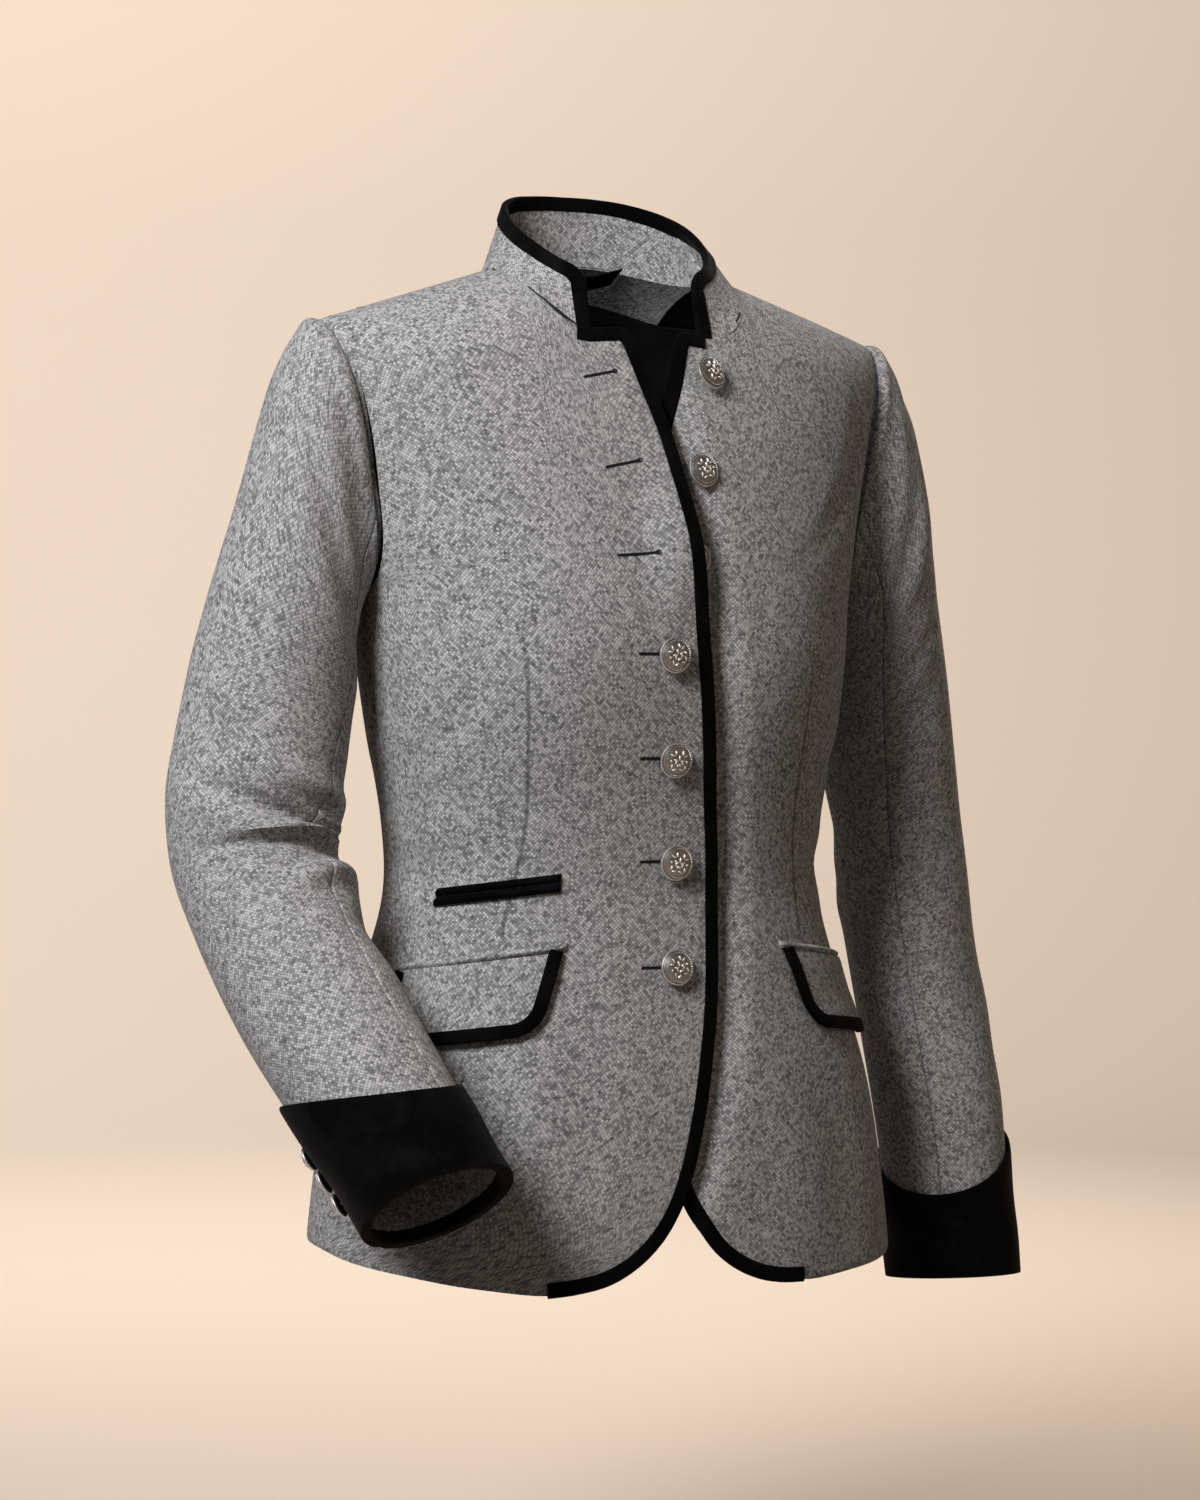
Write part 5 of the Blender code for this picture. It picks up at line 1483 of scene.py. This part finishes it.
@dataclass
class Binding:
    """Velvet folded over an edge, rounded at the fold."""

    reach: float = BAND
    lift: float = 0.0003

    def profile(self, layer: float) -> list[tuple[float, float]]:
        """Distance in from the edge and out from the face, from the outer side round to the inner."""
        high = self.lift + VELVET
        low = -layer - self.lift - VELVET
        middle, radius = (high + low) / 2, (high - low) / 2
        arc = [(-0.0004 - 0.0014 * math.sin(a), middle + radius * math.cos(a))
               for a in np.linspace(0, math.pi, 9)]
        near = [(self.reach, high - 0.0006), (self.reach - 0.0006, high - 0.0001), (self.reach - 0.0016, high),
                (self.reach * 0.55, high), (self.reach * 0.25, high)]
        return near + arc + [(m, high + low - n) for m, n in near[::-1]]

    def over_body(self, sewn: Sewn, name: str, edge: Array, out_of: Callable[[Array, Array], Array],
                  layer: float, leftward: bool) -> Thing:
        """A binding over an edge that lies over the body.

        Args:
            sewn: What makes and dresses the walls.
            name: The solid that it stands for.
            edge: The edge as turn and height.
            out_of: How far out the bound cloth lies.
            layer: The bound cloth's thickness.
            leftward: Whether the cloth lies on the left of the run.

        Returns:
            The piece.
        """
        turn, z = edge[:, 0], edge[:, 1]
        here = Form.body(turn, z)
        normal = unit(Form.body(turn, z, 0.001) - here)
        inward = unit(np.cross(unit(np.gradient(here, axis=0)), normal)) * (-1.0 if leftward else 1.0)
        rows, core = [], []
        for m, n in self.profile(layer):
            at_turn, at_z = self.shifted(turn, z, inward, m)
            rows.append(Form.body(at_turn, at_z, out_of(at_turn, at_z) + n))
            at_turn, at_z = self.shifted(turn, z, inward, min(max(m, 0.0025), self.reach))
            core.append(Form.body(at_turn, at_z, out_of(at_turn, at_z) - layer / 2))
        return sewn.wall(name + "_velvet", np.stack(rows, 0), VELVET, (sewn.wardrobe.velvet,), "velvet",
                         core=np.stack(core, 0), node=name)

    @staticmethod
    def shifted(turn: Array, z: Array, inward: Array, distance: float) -> tuple[Array, Array]:
        """Turn and height a distance away along the body's surface."""
        step = 1e-3
        across = (Form.bare(turn + step, z) - Form.bare(turn - step, z)) / (2 * step)
        up = (Form.bare(turn, z + step) - Form.bare(turn, z - step)) / (2 * step)
        a, b, c = np.sum(across * across, -1), np.sum(across * up, -1), np.sum(up * up, -1)
        p, q = np.sum(across * inward, -1) * distance, np.sum(up * inward, -1) * distance
        size = a * c - b * b
        return turn + (c * p - b * q) / size, z + (a * q - b * p) / size

    def over_rim(self, sewn: Sewn, name: str, here: Array, lifted: Array, layer: float) -> Thing:
        """A binding over the collar's rim, given as its stations and the same stations lifted."""
        normal = unit(lifted - here)
        inward = -unit(np.cross(unit(np.gradient(here, axis=0)), normal))
        profile = self.profile(layer)
        rows = [here + inward * m + normal * n for m, n in profile]
        middle = here + inward * 0.0025 - normal * layer / 2
        far = here + inward * self.reach - normal * layer / 2
        core = [far if m > 0.6 * self.reach else middle for m, _ in profile]
        return sewn.wall(name + "_velvet", np.stack(rows, 0), VELVET, (sewn.wardrobe.velvet,), "velvet",
                         core=np.stack(core, 0), node=name)


@dataclass
class StandCollar:
    """The stand collar and its binding."""

    base: float = -0.09

    def make(self, sewn: Sewn) -> None:
        """Builds and dresses the collar."""
        at = Neck.stations(150)
        share = np.linspace(0, 1, 22)[:, None]
        share = self.base + share * (Neck.top(at)[None] - self.base)
        points = Neck.place(at[None], share)
        wool = sewn.wardrobe.wool
        sewn.wall("collar_cloth", points, DOUBLE, (wool, wool), "wool", node="collar")
        top = Neck.top(at)
        side = np.linspace(-0.03, top[0], 12)[:-1]
        ends = (np.full(11, Neck.FIRST), np.full(11, Neck.LAST))
        path_at = np.concatenate([ends[0], at, ends[1]])
        path_share = np.concatenate([side, top, side[::-1]])
        here = Neck.place(path_at, path_share)
        lifted = Neck.place(path_at, path_share, 0.001)
        Binding().over_rim(sewn, "collar_binding", here, lifted, DOUBLE)


@dataclass
class FrontEdges:
    """The bindings of the two front edges."""

    def make(self, sewn: Sewn) -> None:
        """Builds and dresses both bindings."""
        for side in Side:
            edge = Form.front_line(side)
            at = Neck.FIRST if side is Side.RIGHT else Neck.LAST
            z = float(read(COLLAR, 2, at)) - 0.0004
            start = np.array([0.008, 0.0045, 0.001] if side is Side.RIGHT else [0.002])
            x = float(read(COLLAR, 1, at)) + side.sign * start
            height = z + 0.15 * start
            neck = np.stack([Form.turn_of(x, height), height], -1)
            edge = along_line(np.concatenate([neck, edge]), 300)

            def out_of(turn: Array, z: Array, side: Side = side) -> Array:
                """How far out this front lies."""
                return Form.lap(side, turn, z) + Form.relief(turn, z)

            Binding().over_body(sewn, f"front_binding_{side.value}", edge, out_of, WALL, side is Side.LEFT)


@dataclass
class Pocket:
    """A flap pocket: the flap, its binding and the piped jet above it."""

    side: Side
    top: Triple
    wall: float = 0.0016
    out: float = 0.0044
    length: float = 0.122
    height: float = 0.048
    lean: float = 0.010
    radius: float = 0.014

    def place(self, along: Array, down: Array) -> tuple[Array, Array]:
        """Turn and height: along from the pocket's front end, down from its top line."""
        start = Form.turn_of(self.side.sign * self.top[0], self.top[1])
        turn = start + self.side.sign * (along + self.lean * down / self.height) / MEAN_RADIUS
        return turn, self.top[1] + self.top[2] * along / self.length - down

    def face(self, turn: Array, z: Array) -> Array:
        """How far out the flap's face lies: nearer the body at its top, where it is sewn."""
        down = np.clip(self.top[1] - z, 0, self.height)
        return self.out - 0.0016 * (1 - smooth(down / 0.016)) + 0.0010 * smooth((down - 0.030) / 0.018)

    def outline(self) -> Array:
        """The flap's edge from its front end down, along and up again: along, down."""
        r, low = self.radius, self.height - self.radius
        arc = np.radians(np.linspace(0, 90, 14))
        rise = [(0.0, d) for d in np.linspace(-0.0004, low, 14)[:-1]]
        near = [(r - r * math.cos(a), low + r * math.sin(a)) for a in arc]
        middle = [(float(a), self.height) for a in np.linspace(r, self.length - r, 40)[1:-1]]
        far = [(self.length - r + r * math.sin(a), low + r * math.cos(a)) for a in arc]
        return np.array(rise + near + middle + far + [(self.length, d) for _, d in rise[::-1]])

    def strip(self, sewn: Sewn, name: str, high: float, low: float, look: Material, slot: str,
              length: float, swell: float = 0.0020) -> Thing:
        """A narrow rounded strip sewn on the front, such as a jet or a welt."""
        v = np.linspace(0, 1, 12)[:, None]
        u = np.linspace(-0.004, length + 0.004, 90)[None]
        turn, z = self.place(u + 0 * v, high + v * (low - high) + 0 * u)
        end = smooth(np.minimum(u + 0.004, length + 0.004 - u) / 0.002)
        out = 0.0006 + (0.0014 + swell * np.sin(math.pi * v)) * end + Form.relief(turn, z)
        return sewn.wall(name + "_sewn", Form.body(turn, z, out), 0.0009, (look,), slot, node=name)

    def make(self, sewn: Sewn) -> None:
        """Builds and dresses the pocket."""
        name = self.side.value
        r = self.radius
        v = np.concatenate([np.linspace(0, 0.7, 16), np.linspace(0.72, 1.0, 18)])
        down = self.height * v
        below = np.clip(down - (self.height - r), 0, r)
        cut = r - np.sqrt(r * r - below ** 2)
        u = np.linspace(0, 1, 70)[None]
        along = cut[:, None] + u * (self.length - 2 * cut[:, None])
        turn, z = self.place(along, down[:, None] + 0 * along)
        wool = sewn.wardrobe.wool
        sewn.wall(f"flap_{name}_cloth", Form.body(turn, z, self.face(turn, z)), self.wall, (wool, wool), "wool",
                  uv=np.stack([along, -down[:, None] + 0 * along], -1), node=f"flap_{name}")
        edge = self.outline()
        turn, z = self.place(edge[:, 0], edge[:, 1])
        Binding(reach=0.0066).over_body(sewn, f"flap_binding_{name}", np.stack([turn, z], -1), self.face, self.wall,
                                        self.side is Side.LEFT)
        self.strip(sewn, f"flap_jet_{name}", -0.0052, -0.0006, wool, "wool", self.length)


@dataclass
class TicketWelt:
    """The double-jetted ticket pocket of the right front."""

    length: float = 0.092
    height: float = 0.0052

    def make(self, sewn: Sewn) -> None:
        """Builds and dresses both jets, with the dark slit between them."""
        pocket = Pocket(Side.RIGHT, (0.0755, -0.3850, -0.0125), length=0.122, lean=0.0)
        velvet = sewn.wardrobe.velvet
        pocket.strip(sewn, "welt_upper", 0.0, self.height, velvet, "velvet", self.length)
        pocket.strip(sewn, "welt_lower", self.height + 0.0008, 2 * self.height + 0.0008, velvet, "velvet",
                     self.length)


@dataclass
class Button:
    """A domed metal button with a beaded rim, a rope ring and two crossed sprigs."""

    radius: float
    shank: float = 0.0004
    # Half section of a front button: radius and height over the cloth, from the shank round to the top
    SECTION = ((0.0018, 0.0030), (0.0060, 0.0031), (0.0100, 0.0034), (0.0108, 0.0040), (0.0110, 0.0047),
               (0.0108, 0.0053), (0.0103, 0.0056), (0.0098, 0.0054), (0.0095, 0.0056), (0.0085, 0.0064),
               (0.0070, 0.0073), (0.0050, 0.0080), (0.0025, 0.0084), (0.0, 0.0085))
    SHANK = 0.0018       # radius of the shank
    DOME = 6             # how many of its last rows make the dome inside the rope ring
    LEAF = (0.0018, 0.00075)     # half length and half width of a leaf
    BEAD = (0.0009, 0.0009)      # and of a bead between the sprigs
    TWIST = (0.00050, 0.00026)   # and of one strand of the rope ring
    THICK = 0.0013       # height of the relief's ellipsoids
    RING = 0.0088        # radius of the rope ring
    STRANDS = 40         # how many strands it has

    @property
    def scale(self) -> float:
        """Its size against a front button."""
        return self.radius / FRONT_BUTTON

    def turned(self) -> Thing:
        """The turned body, spun about its axis from its half section."""
        r = self.scale
        foot = self.shank / r
        section = ((0.0, foot), (self.SHANK, foot)) + self.SECTION
        return spun("turned", [(x * r, z * r) for x, z in section], 48, 1e-6)

    def dome(self, x: float, y: float) -> float:
        """Height of the domed top at a place."""
        away, height = zip(*self.SECTION[:-self.DOME - 1:-1])
        return float(np.interp(math.hypot(x, y) / self.scale, away, height)) * self.scale

    def leaf(self, x: float, y: float, angle: float, long: float, wide: float) -> Thing:
        """One raised leaf of the relief, or a bead where it is as wide as it is long."""
        r = self.scale
        x, y = x * r, y * r
        bpy.ops.object.select_all(action="DESELECT")
        bpy.ops.mesh.primitive_uv_sphere_add(segments=10, ring_count=6, radius=1.0)
        thing = bpy.context.active_object
        tilt = math.atan2(math.hypot(x, y), self.radius * 1.35)
        heading = Matrix.Rotation(math.atan2(y, x), 4, "Z")
        lean = heading @ Matrix.Rotation(tilt, 4, "Y") @ heading.inverted()
        size = Matrix.Diagonal((long * r, wide * r, self.THICK * r, 1.0))
        place = Matrix.Translation((x, y, self.dome(x, y) - 0.00004))
        thing.data.transform(place @ lean @ Matrix.Rotation(angle, 4, "Z") @ size)
        return thing

    def build(self) -> Thing:
        """Builds the whole button about its own axis."""
        parts = [self.turned()]
        for lean in (1.0, -1.0):
            for index in range(4):
                along = -0.0054 + 0.0036 * index
                x, y = lean * along * 0.62, along * 0.78
                heading = math.atan2(0.78, 0.62 * lean)
                for hand in (0.55, -0.55):
                    spread = 0.0013
                    px = x + spread * math.cos(heading + math.copysign(math.pi / 2, hand))
                    py = y + spread * math.sin(heading + math.copysign(math.pi / 2, hand))
                    parts.append(self.leaf(px, py, heading + hand, *self.LEAF))
            parts.append(self.leaf(lean * 0.0052, 0.0, 0.0, *self.BEAD))
        for index in range(self.STRANDS):
            angle = 2 * math.pi * index / self.STRANDS
            parts.append(self.leaf(self.RING * math.cos(angle), self.RING * math.sin(angle), angle + 0.9, *self.TWIST))
        thing = joined(parts, 40.0)
        self.wear(thing.data)
        return thing

    def wear(self, mesh: bpy.types.Mesh) -> None:
        """Marks the hollows, which stay dark, and the raised places, which are rubbed bright."""
        for old in list(mesh.uv_layers):
            mesh.uv_layers.remove(old)
        layer = mesh.uv_layers.new(name="worn")
        for loop in mesh.loops:
            co = mesh.vertices[loop.vertex_index].co
            away = math.hypot(co.x, co.y) / self.radius
            above = (co.z - self.dome(co.x, co.y)) / self.radius if away < 0.86 else 0.02
            rubbed = 0.20 + 0.80 * float(np.clip(above / 0.035, -1, 1))
            hollow = 0.15 if 0.86 < away < 0.92 else 1.0
            layer.data[loop.index].uv = (float(np.clip(rubbed * hollow + 0.12, 0, 1)), 0.0)

    def copy_to(self, sewn: Sewn, model: Thing, name: str, place: Array, normal: Array,
                spin: float) -> None:
        """Places a copy with its own mesh.

        Args:
            sewn: What dresses the pieces.
            model: The button that is copied.
            name: The solid that the copy stands for.
            place: Where the shank's axis meets the cloth.
            normal: The axis.
            spin: How far it is turned about its axis.
        """
        mesh = model.data.copy()
        thing = linked(name + "_metal", mesh)
        axis = Vector(normal.tolist()).normalized()
        up = Vector((0.0, 0.0, 1.0))
        right = up.cross(axis).normalized()
        frame_of = Matrix((right, axis.cross(right), axis)).transposed().to_4x4()
        mesh.transform(Matrix.Translation(Vector(place.tolist())) @ frame_of
                       @ Matrix.Rotation(spin, 4, "Z"))
        mesh.materials.clear()
        mesh.materials.append(sewn.wardrobe.metal)
        sewn.dress(thing, (name,))


@dataclass
class Buttons:
    """The seven front buttons and the three on each cuff."""

    CUFF_SHARES = (0.36, 0.53, 0.70)     # heights on the cuff, as shares of its own
    FROM_VENT = 13.0                     # degrees from the cuff's vent

    def make(self, sewn: Sewn) -> None:
        """Builds and places all buttons."""
        front = Button(FRONT_BUTTON)
        model = front.build()
        for index, (x, z, lean, on_left) in enumerate(BUTTONS):
            turn = float(Form.turn_of(x, z))
            out = float(Form.lap(Side.LEFT if on_left else Side.RIGHT, np.array(turn), np.array(z)))
            place = Form.body(turn, z, out)
            normal = unit(Form.body(turn, z, out + 0.001) - place)
            angle = math.radians(lean)
            axis = np.array([normal[0] * math.cos(angle) - normal[1] * math.sin(angle),
                             normal[0] * math.sin(angle) + normal[1] * math.cos(angle), normal[2]])
            place = place + normal * FRONT_BUTTON * 0.55 * math.sin(angle)
            front.copy_to(sewn, model, f"button_{index + 1}", place, axis, 0.35 * math.sin(2.3 * index + 0.4))
        bpy.data.objects.remove(model)
        small = Button(CUFF_BUTTON)
        model = small.build()
        for side in Side:
            sleeve = Sleeve(side)
            for index, share in enumerate(self.CUFF_SHARES):
                degrees = np.array(Tube.VENT[side] + self.FROM_VENT)
                flare = 0.0030 + 0.0012 * share
                place = sleeve.cuff_place(np.array(share), degrees, flare)
                normal = unit(sleeve.cuff_place(np.array(share), degrees, flare + 0.001) - place)
                small.copy_to(sewn, model, f"cuff_button_{side.value}_{index + 1}", place, normal, 0.5 * index)
        bpy.data.objects.remove(model)


@dataclass
class Buttonholes:
    """The keyhole buttonholes of the right front: a dark strip, painted shade for the opening of the slit, in a ring
    of close purl stitches.
    """

    thread: float = 0.00032
    half_width: float = 0.00048
    eye: float = 0.0012
    PITCH = 0.00022      # distance between two stitches
    ROUND = 8            # points round a stitch

    def ring(self, start: Array, end: Array) -> Array:
        """The stitched line round one hole, as x and height."""
        along = unit(end - start)
        across = np.array([-along[1], along[0]])
        length = float(np.linalg.norm(end - start))
        points = []
        for s in np.linspace(0, length - self.eye, 30):
            points.append(start + along * s + across * self.half_width)
        for a in np.linspace(math.radians(150), math.radians(-150), 18):
            points.append(end - along * 0.0002 + along * self.eye * math.cos(a) + across * self.eye * math.sin(a))
        for s in np.linspace(length - self.eye, 0, 30):
            points.append(start + along * s - across * self.half_width)
        return np.array(points)

    def tube(self, line: Array) -> Thing:
        """A closed cord of stitches along a line of x and height on the right front."""
        closed = np.concatenate([line, line[:1]])
        count = int(np.sum(np.linalg.norm(np.diff(closed, axis=0), axis=1)) / self.PITCH)
        fine = along_line(closed, count)[:-1]
        turn = Form.turn_of(fine[:, 0], fine[:, 1])
        out = Form.lap(Side.RIGHT, turn, fine[:, 1])
        centre = Form.body(turn, fine[:, 1], out + 0.0001)
        normal = unit(Form.body(turn, fine[:, 1], out + 0.0011) - centre)
        ahead = unit(np.roll(centre, -1, axis=0) - np.roll(centre, 1, axis=0))
        across = np.cross(ahead, normal)
        angles = np.linspace(0, 2 * math.pi, self.ROUND + 1)[:-1]
        swell = self.thread * (0.75 + 0.35 * (np.arange(len(fine)) % 2))[:, None, None]
        rings = centre[:, None] + swell * (1.5 * np.cos(angles)[None, :, None] * across[:, None]
                                           + np.sin(angles)[None, :, None] * normal[:, None])
        bm = bmesh.new()
        verts = [[bm.verts.new(point) for point in ring] for ring in rings]
        for i, ring in enumerate(verts):
            following = verts[(i + 1) % len(verts)]
            for j in range(self.ROUND):
                k = (j + 1) % self.ROUND
                bm.faces.new((ring[j], ring[k], following[k], following[j]))
        bmesh.ops.recalc_face_normals(bm, faces=bm.faces)
        return from_bmesh("stitches", bm)

    def slit(self, start: Array, end: Array) -> Thing:
        """A thin dark strip just over the cloth between the stitches, painted shade for the opening."""
        s = np.linspace(0, 1, 16)[:, None]
        w = np.linspace(-1, 1, 5)[None]
        along = unit(end - start)
        across = np.array([-along[1], along[0]])
        wide = self.half_width * 0.9 + (self.eye - self.half_width) * (s > 0.93)
        spot = start + (end - start) * s[..., None] + across * (wide * w)[..., None]
        turn = Form.turn_of(spot[..., 0], spot[..., 1])
        out = Form.lap(Side.RIGHT, turn, spot[..., 1])
        points = Form.body(turn, spot[..., 1], out + 0.00022 - 0.00012 * np.abs(w))
        bm = bmesh.new()
        grid = [[bm.verts.new(point) for point in row] for row in points]
        for i in range(len(grid) - 1):
            for j in range(4):
                bm.faces.new((grid[i][j], grid[i][j + 1], grid[i + 1][j + 1], grid[i + 1][j]))
        bmesh.ops.solidify(bm, geom=bm.faces[:], thickness=0.0002)
        bmesh.ops.recalc_face_normals(bm, faces=bm.faces)
        return from_bmesh("slit", bm)

    def make(self, sewn: Sewn) -> None:
        """Builds and dresses all buttonholes as one piece each."""
        for index, (x0, z0, x1, z1) in enumerate(BUTTONHOLES):
            start, end = np.array([x0, z0]), np.array([x1, z1])
            parts = [self.tube(self.ring(start, end)), self.slit(start, end)]
            # The slit's strip takes the thread's near-black finish as painted shade for the opening.
            for part in parts:
                part.data.materials.append(sewn.wardrobe.thread)
            hole = joined(parts, 60.0)
            hole.name = f"buttonhole_{index + 1}"
            sewn.dress(hole, ())


@dataclass
class InsideNeck:
    """The back neck facing, the lining below it and the hanger loop."""

    def make(self, sewn: Sewn) -> None:
        """Builds and dresses what shows inside the neck."""
        looks = sewn.wardrobe
        rise = tuple((row[1], row[2]) for row in COLLAR[COLLAR_BACK])
        for name, wide, look, slot in (("back_neck_facing", 0.077, looks.wool, "wool"),
                                       ("back_lining", 0.110, looks.lining, "lining")):
            x = np.linspace(-wide, wide, 80)[None]
            seam = read(rise, 1, np.clip(x, -0.0790, 0.0790)) - 0.0190 - 0.10 * np.maximum(np.abs(x) - 0.078, 0)
            top, low = (read(rise, 1, x) + 0.0006, seam) if slot == "wool" else (seam - 0.0004, -0.1500 + 0 * x)
            v = np.linspace(0, 1, 30)[:, None]
            z = top + (low - top) * v
            pleat = 0.0012 * np.exp(-(x / 0.004) ** 2) if slot == "lining" else 0 * x
            points = Form.body(Form.turn_of(x + 0 * v, z, Face.BACK), z, -WALL - 0.0022 - pleat + 0 * z)
            sewn.wall(name + "_sewn", points, 0.0008, (look,), slot, node=name)
        x = np.linspace(-0.036, 0.036, 50)[None]
        v = np.linspace(0, 1, 8)[:, None]
        bow = np.cos(x / 0.036 * math.pi / 2)
        z = 0.0060 - 0.0085 * v - 0.0030 * bow
        out = -WALL - 0.0035 - 0.0045 * bow
        points = Form.body(Form.turn_of(x + 0 * v, z, Face.BACK), z, out + 0 * z)
        sewn.wall("hanger_loop_sewn", points, 0.0010, (looks.velvet,), "velvet", node="hanger_loop")


@dataclass
class Studio:
    """The camera, the plain pale surround and the soft light."""

    eye: Triple = (-0.9644, -1.9773, -0.2700)
    aim: Triple = (0.0, 0.0, -0.3120)
    lens: float = 82.5
    sensor: float = 36.0
    floor: float = -0.92
    reach: float = 4.2
    bend: float = 1.5        # radius of the curve from the floor to the wall
    tall: float = 5.0        # height of the wall
    centre: Triple = (0.0, 0.0, -0.30)
    # Lights: name, place, size, power, colour and, where it isn't the jacket, what they are aimed at
    LIGHTS = (
        ("key", (-1.45, -0.88, 0.78), 0.7, 40.0, (0.98, 0.98, 1.0)),
        ("fill", (1.7, -1.6, 0.40), 1.0, 3.0, (1.0, 0.72, 0.50)),
        ("top", (0.1, 0.2, 1.6), 0.9, 5.0, (1.0, 0.98, 0.96)),
        ("rim", (1.7, 1.1, 0.5), 0.8, 9.0, (1.0, 0.88, 0.75)),
        ("wall", (-0.2, 1.5, 1.7), 2.2, 100.0, (1.0, 0.98, 0.96), (1.6, 4.0, 0.2)),
    )

    @staticmethod
    def aimed(name: str, data: bpy.types.ID, place: Triple, aim: Triple) -> Thing:
        """Links a camera or a light at a place, turned to what it looks at."""
        thing = linked(name, data)
        thing.location = place
        thing.rotation_euler = (Vector(aim) - Vector(place)).to_track_quat("-Z", "Y").to_euler()
        return thing

    def camera(self) -> None:
        """Creates the camera at the photograph's viewing angle."""
        data = bpy.data.cameras.new("camera")
        data.lens = self.lens
        data.sensor_fit = "VERTICAL"
        data.sensor_height = self.sensor
        bpy.context.scene.camera = self.aimed("camera", data, self.eye, self.aim)

    def surround(self) -> None:
        """A pale floor that curves up into a round wall, turned from its half section."""
        r, inner = self.bend, self.reach - self.bend
        bend = [(inner + r * math.sin(a), r - r * math.cos(a)) for a in np.linspace(0, math.pi / 2, 14)]
        section = [(0.0, 0.0), (inner / 2, 0.0)] + bend + [(self.reach, self.tall)]
        thing = spun("surround", [(x, self.floor + z) for x, z in section], 96, 1e-5, inside=True)
        bpy.ops.object.shade_smooth()
        material, _, shader = new_material("pale_surround")
        set_values(shader, Base_Color=(0.80, 0.665, 0.545, 1.0), Roughness=0.95, Specular_IOR_Level=0.1)
        thing.data.materials.append(material)
        thing.visible_diffuse = False    # its bounce would flatten the shaded side

    def light(self, name: str, place: Triple, size: float, power: float, colour: Triple,
              aim: Triple | None = None) -> None:
        """One soft area light, aimed at the jacket unless it is told otherwise."""
        data = bpy.data.lights.new(name, "AREA")
        data.shape = "DISK"
        data.size = size
        data.energy = power
        data.color = colour
        self.aimed(name, data, place, aim or self.centre)

    def make(self) -> None:
        """Builds the whole studio."""
        self.camera()
        self.surround()
        for row in self.LIGHTS:
            self.light(*row)
        world = bpy.data.worlds.new("studio")
        world.use_nodes = True
        background = world.node_tree.nodes["Background"]
        background.inputs[0].default_value = (1.0, 0.90, 0.78, 1.0)
        background.inputs[1].default_value = 0.11
        bpy.context.scene.world = world
        bpy.context.scene.view_settings.view_transform = "Standard"


def main() -> None:
    """Builds the jacket and its studio."""
    logging.basicConfig(level=logging.INFO, format="%(message)s")
    Studio().make()
    sewn = Sewn(Wardrobe().build())
    for side in Side:
        Panel(side, Face.FRONT).make(sewn)
        Panel(side, Face.BACK).make(sewn)
        Sleeve(side).make(sewn)
    StandCollar().make(sewn)
    FrontEdges().make(sewn)
    Pocket(Side.RIGHT, (0.0745, -0.4325, -0.0140)).make(sewn)
    Pocket(Side.LEFT, (0.0815, -0.4360, -0.0150)).make(sewn)
    TicketWelt().make(sewn)
    Buttons().make(sewn)
    Buttonholes().make(sewn)
    InsideNeck().make(sewn)


if __name__ == "__main__":
    main()
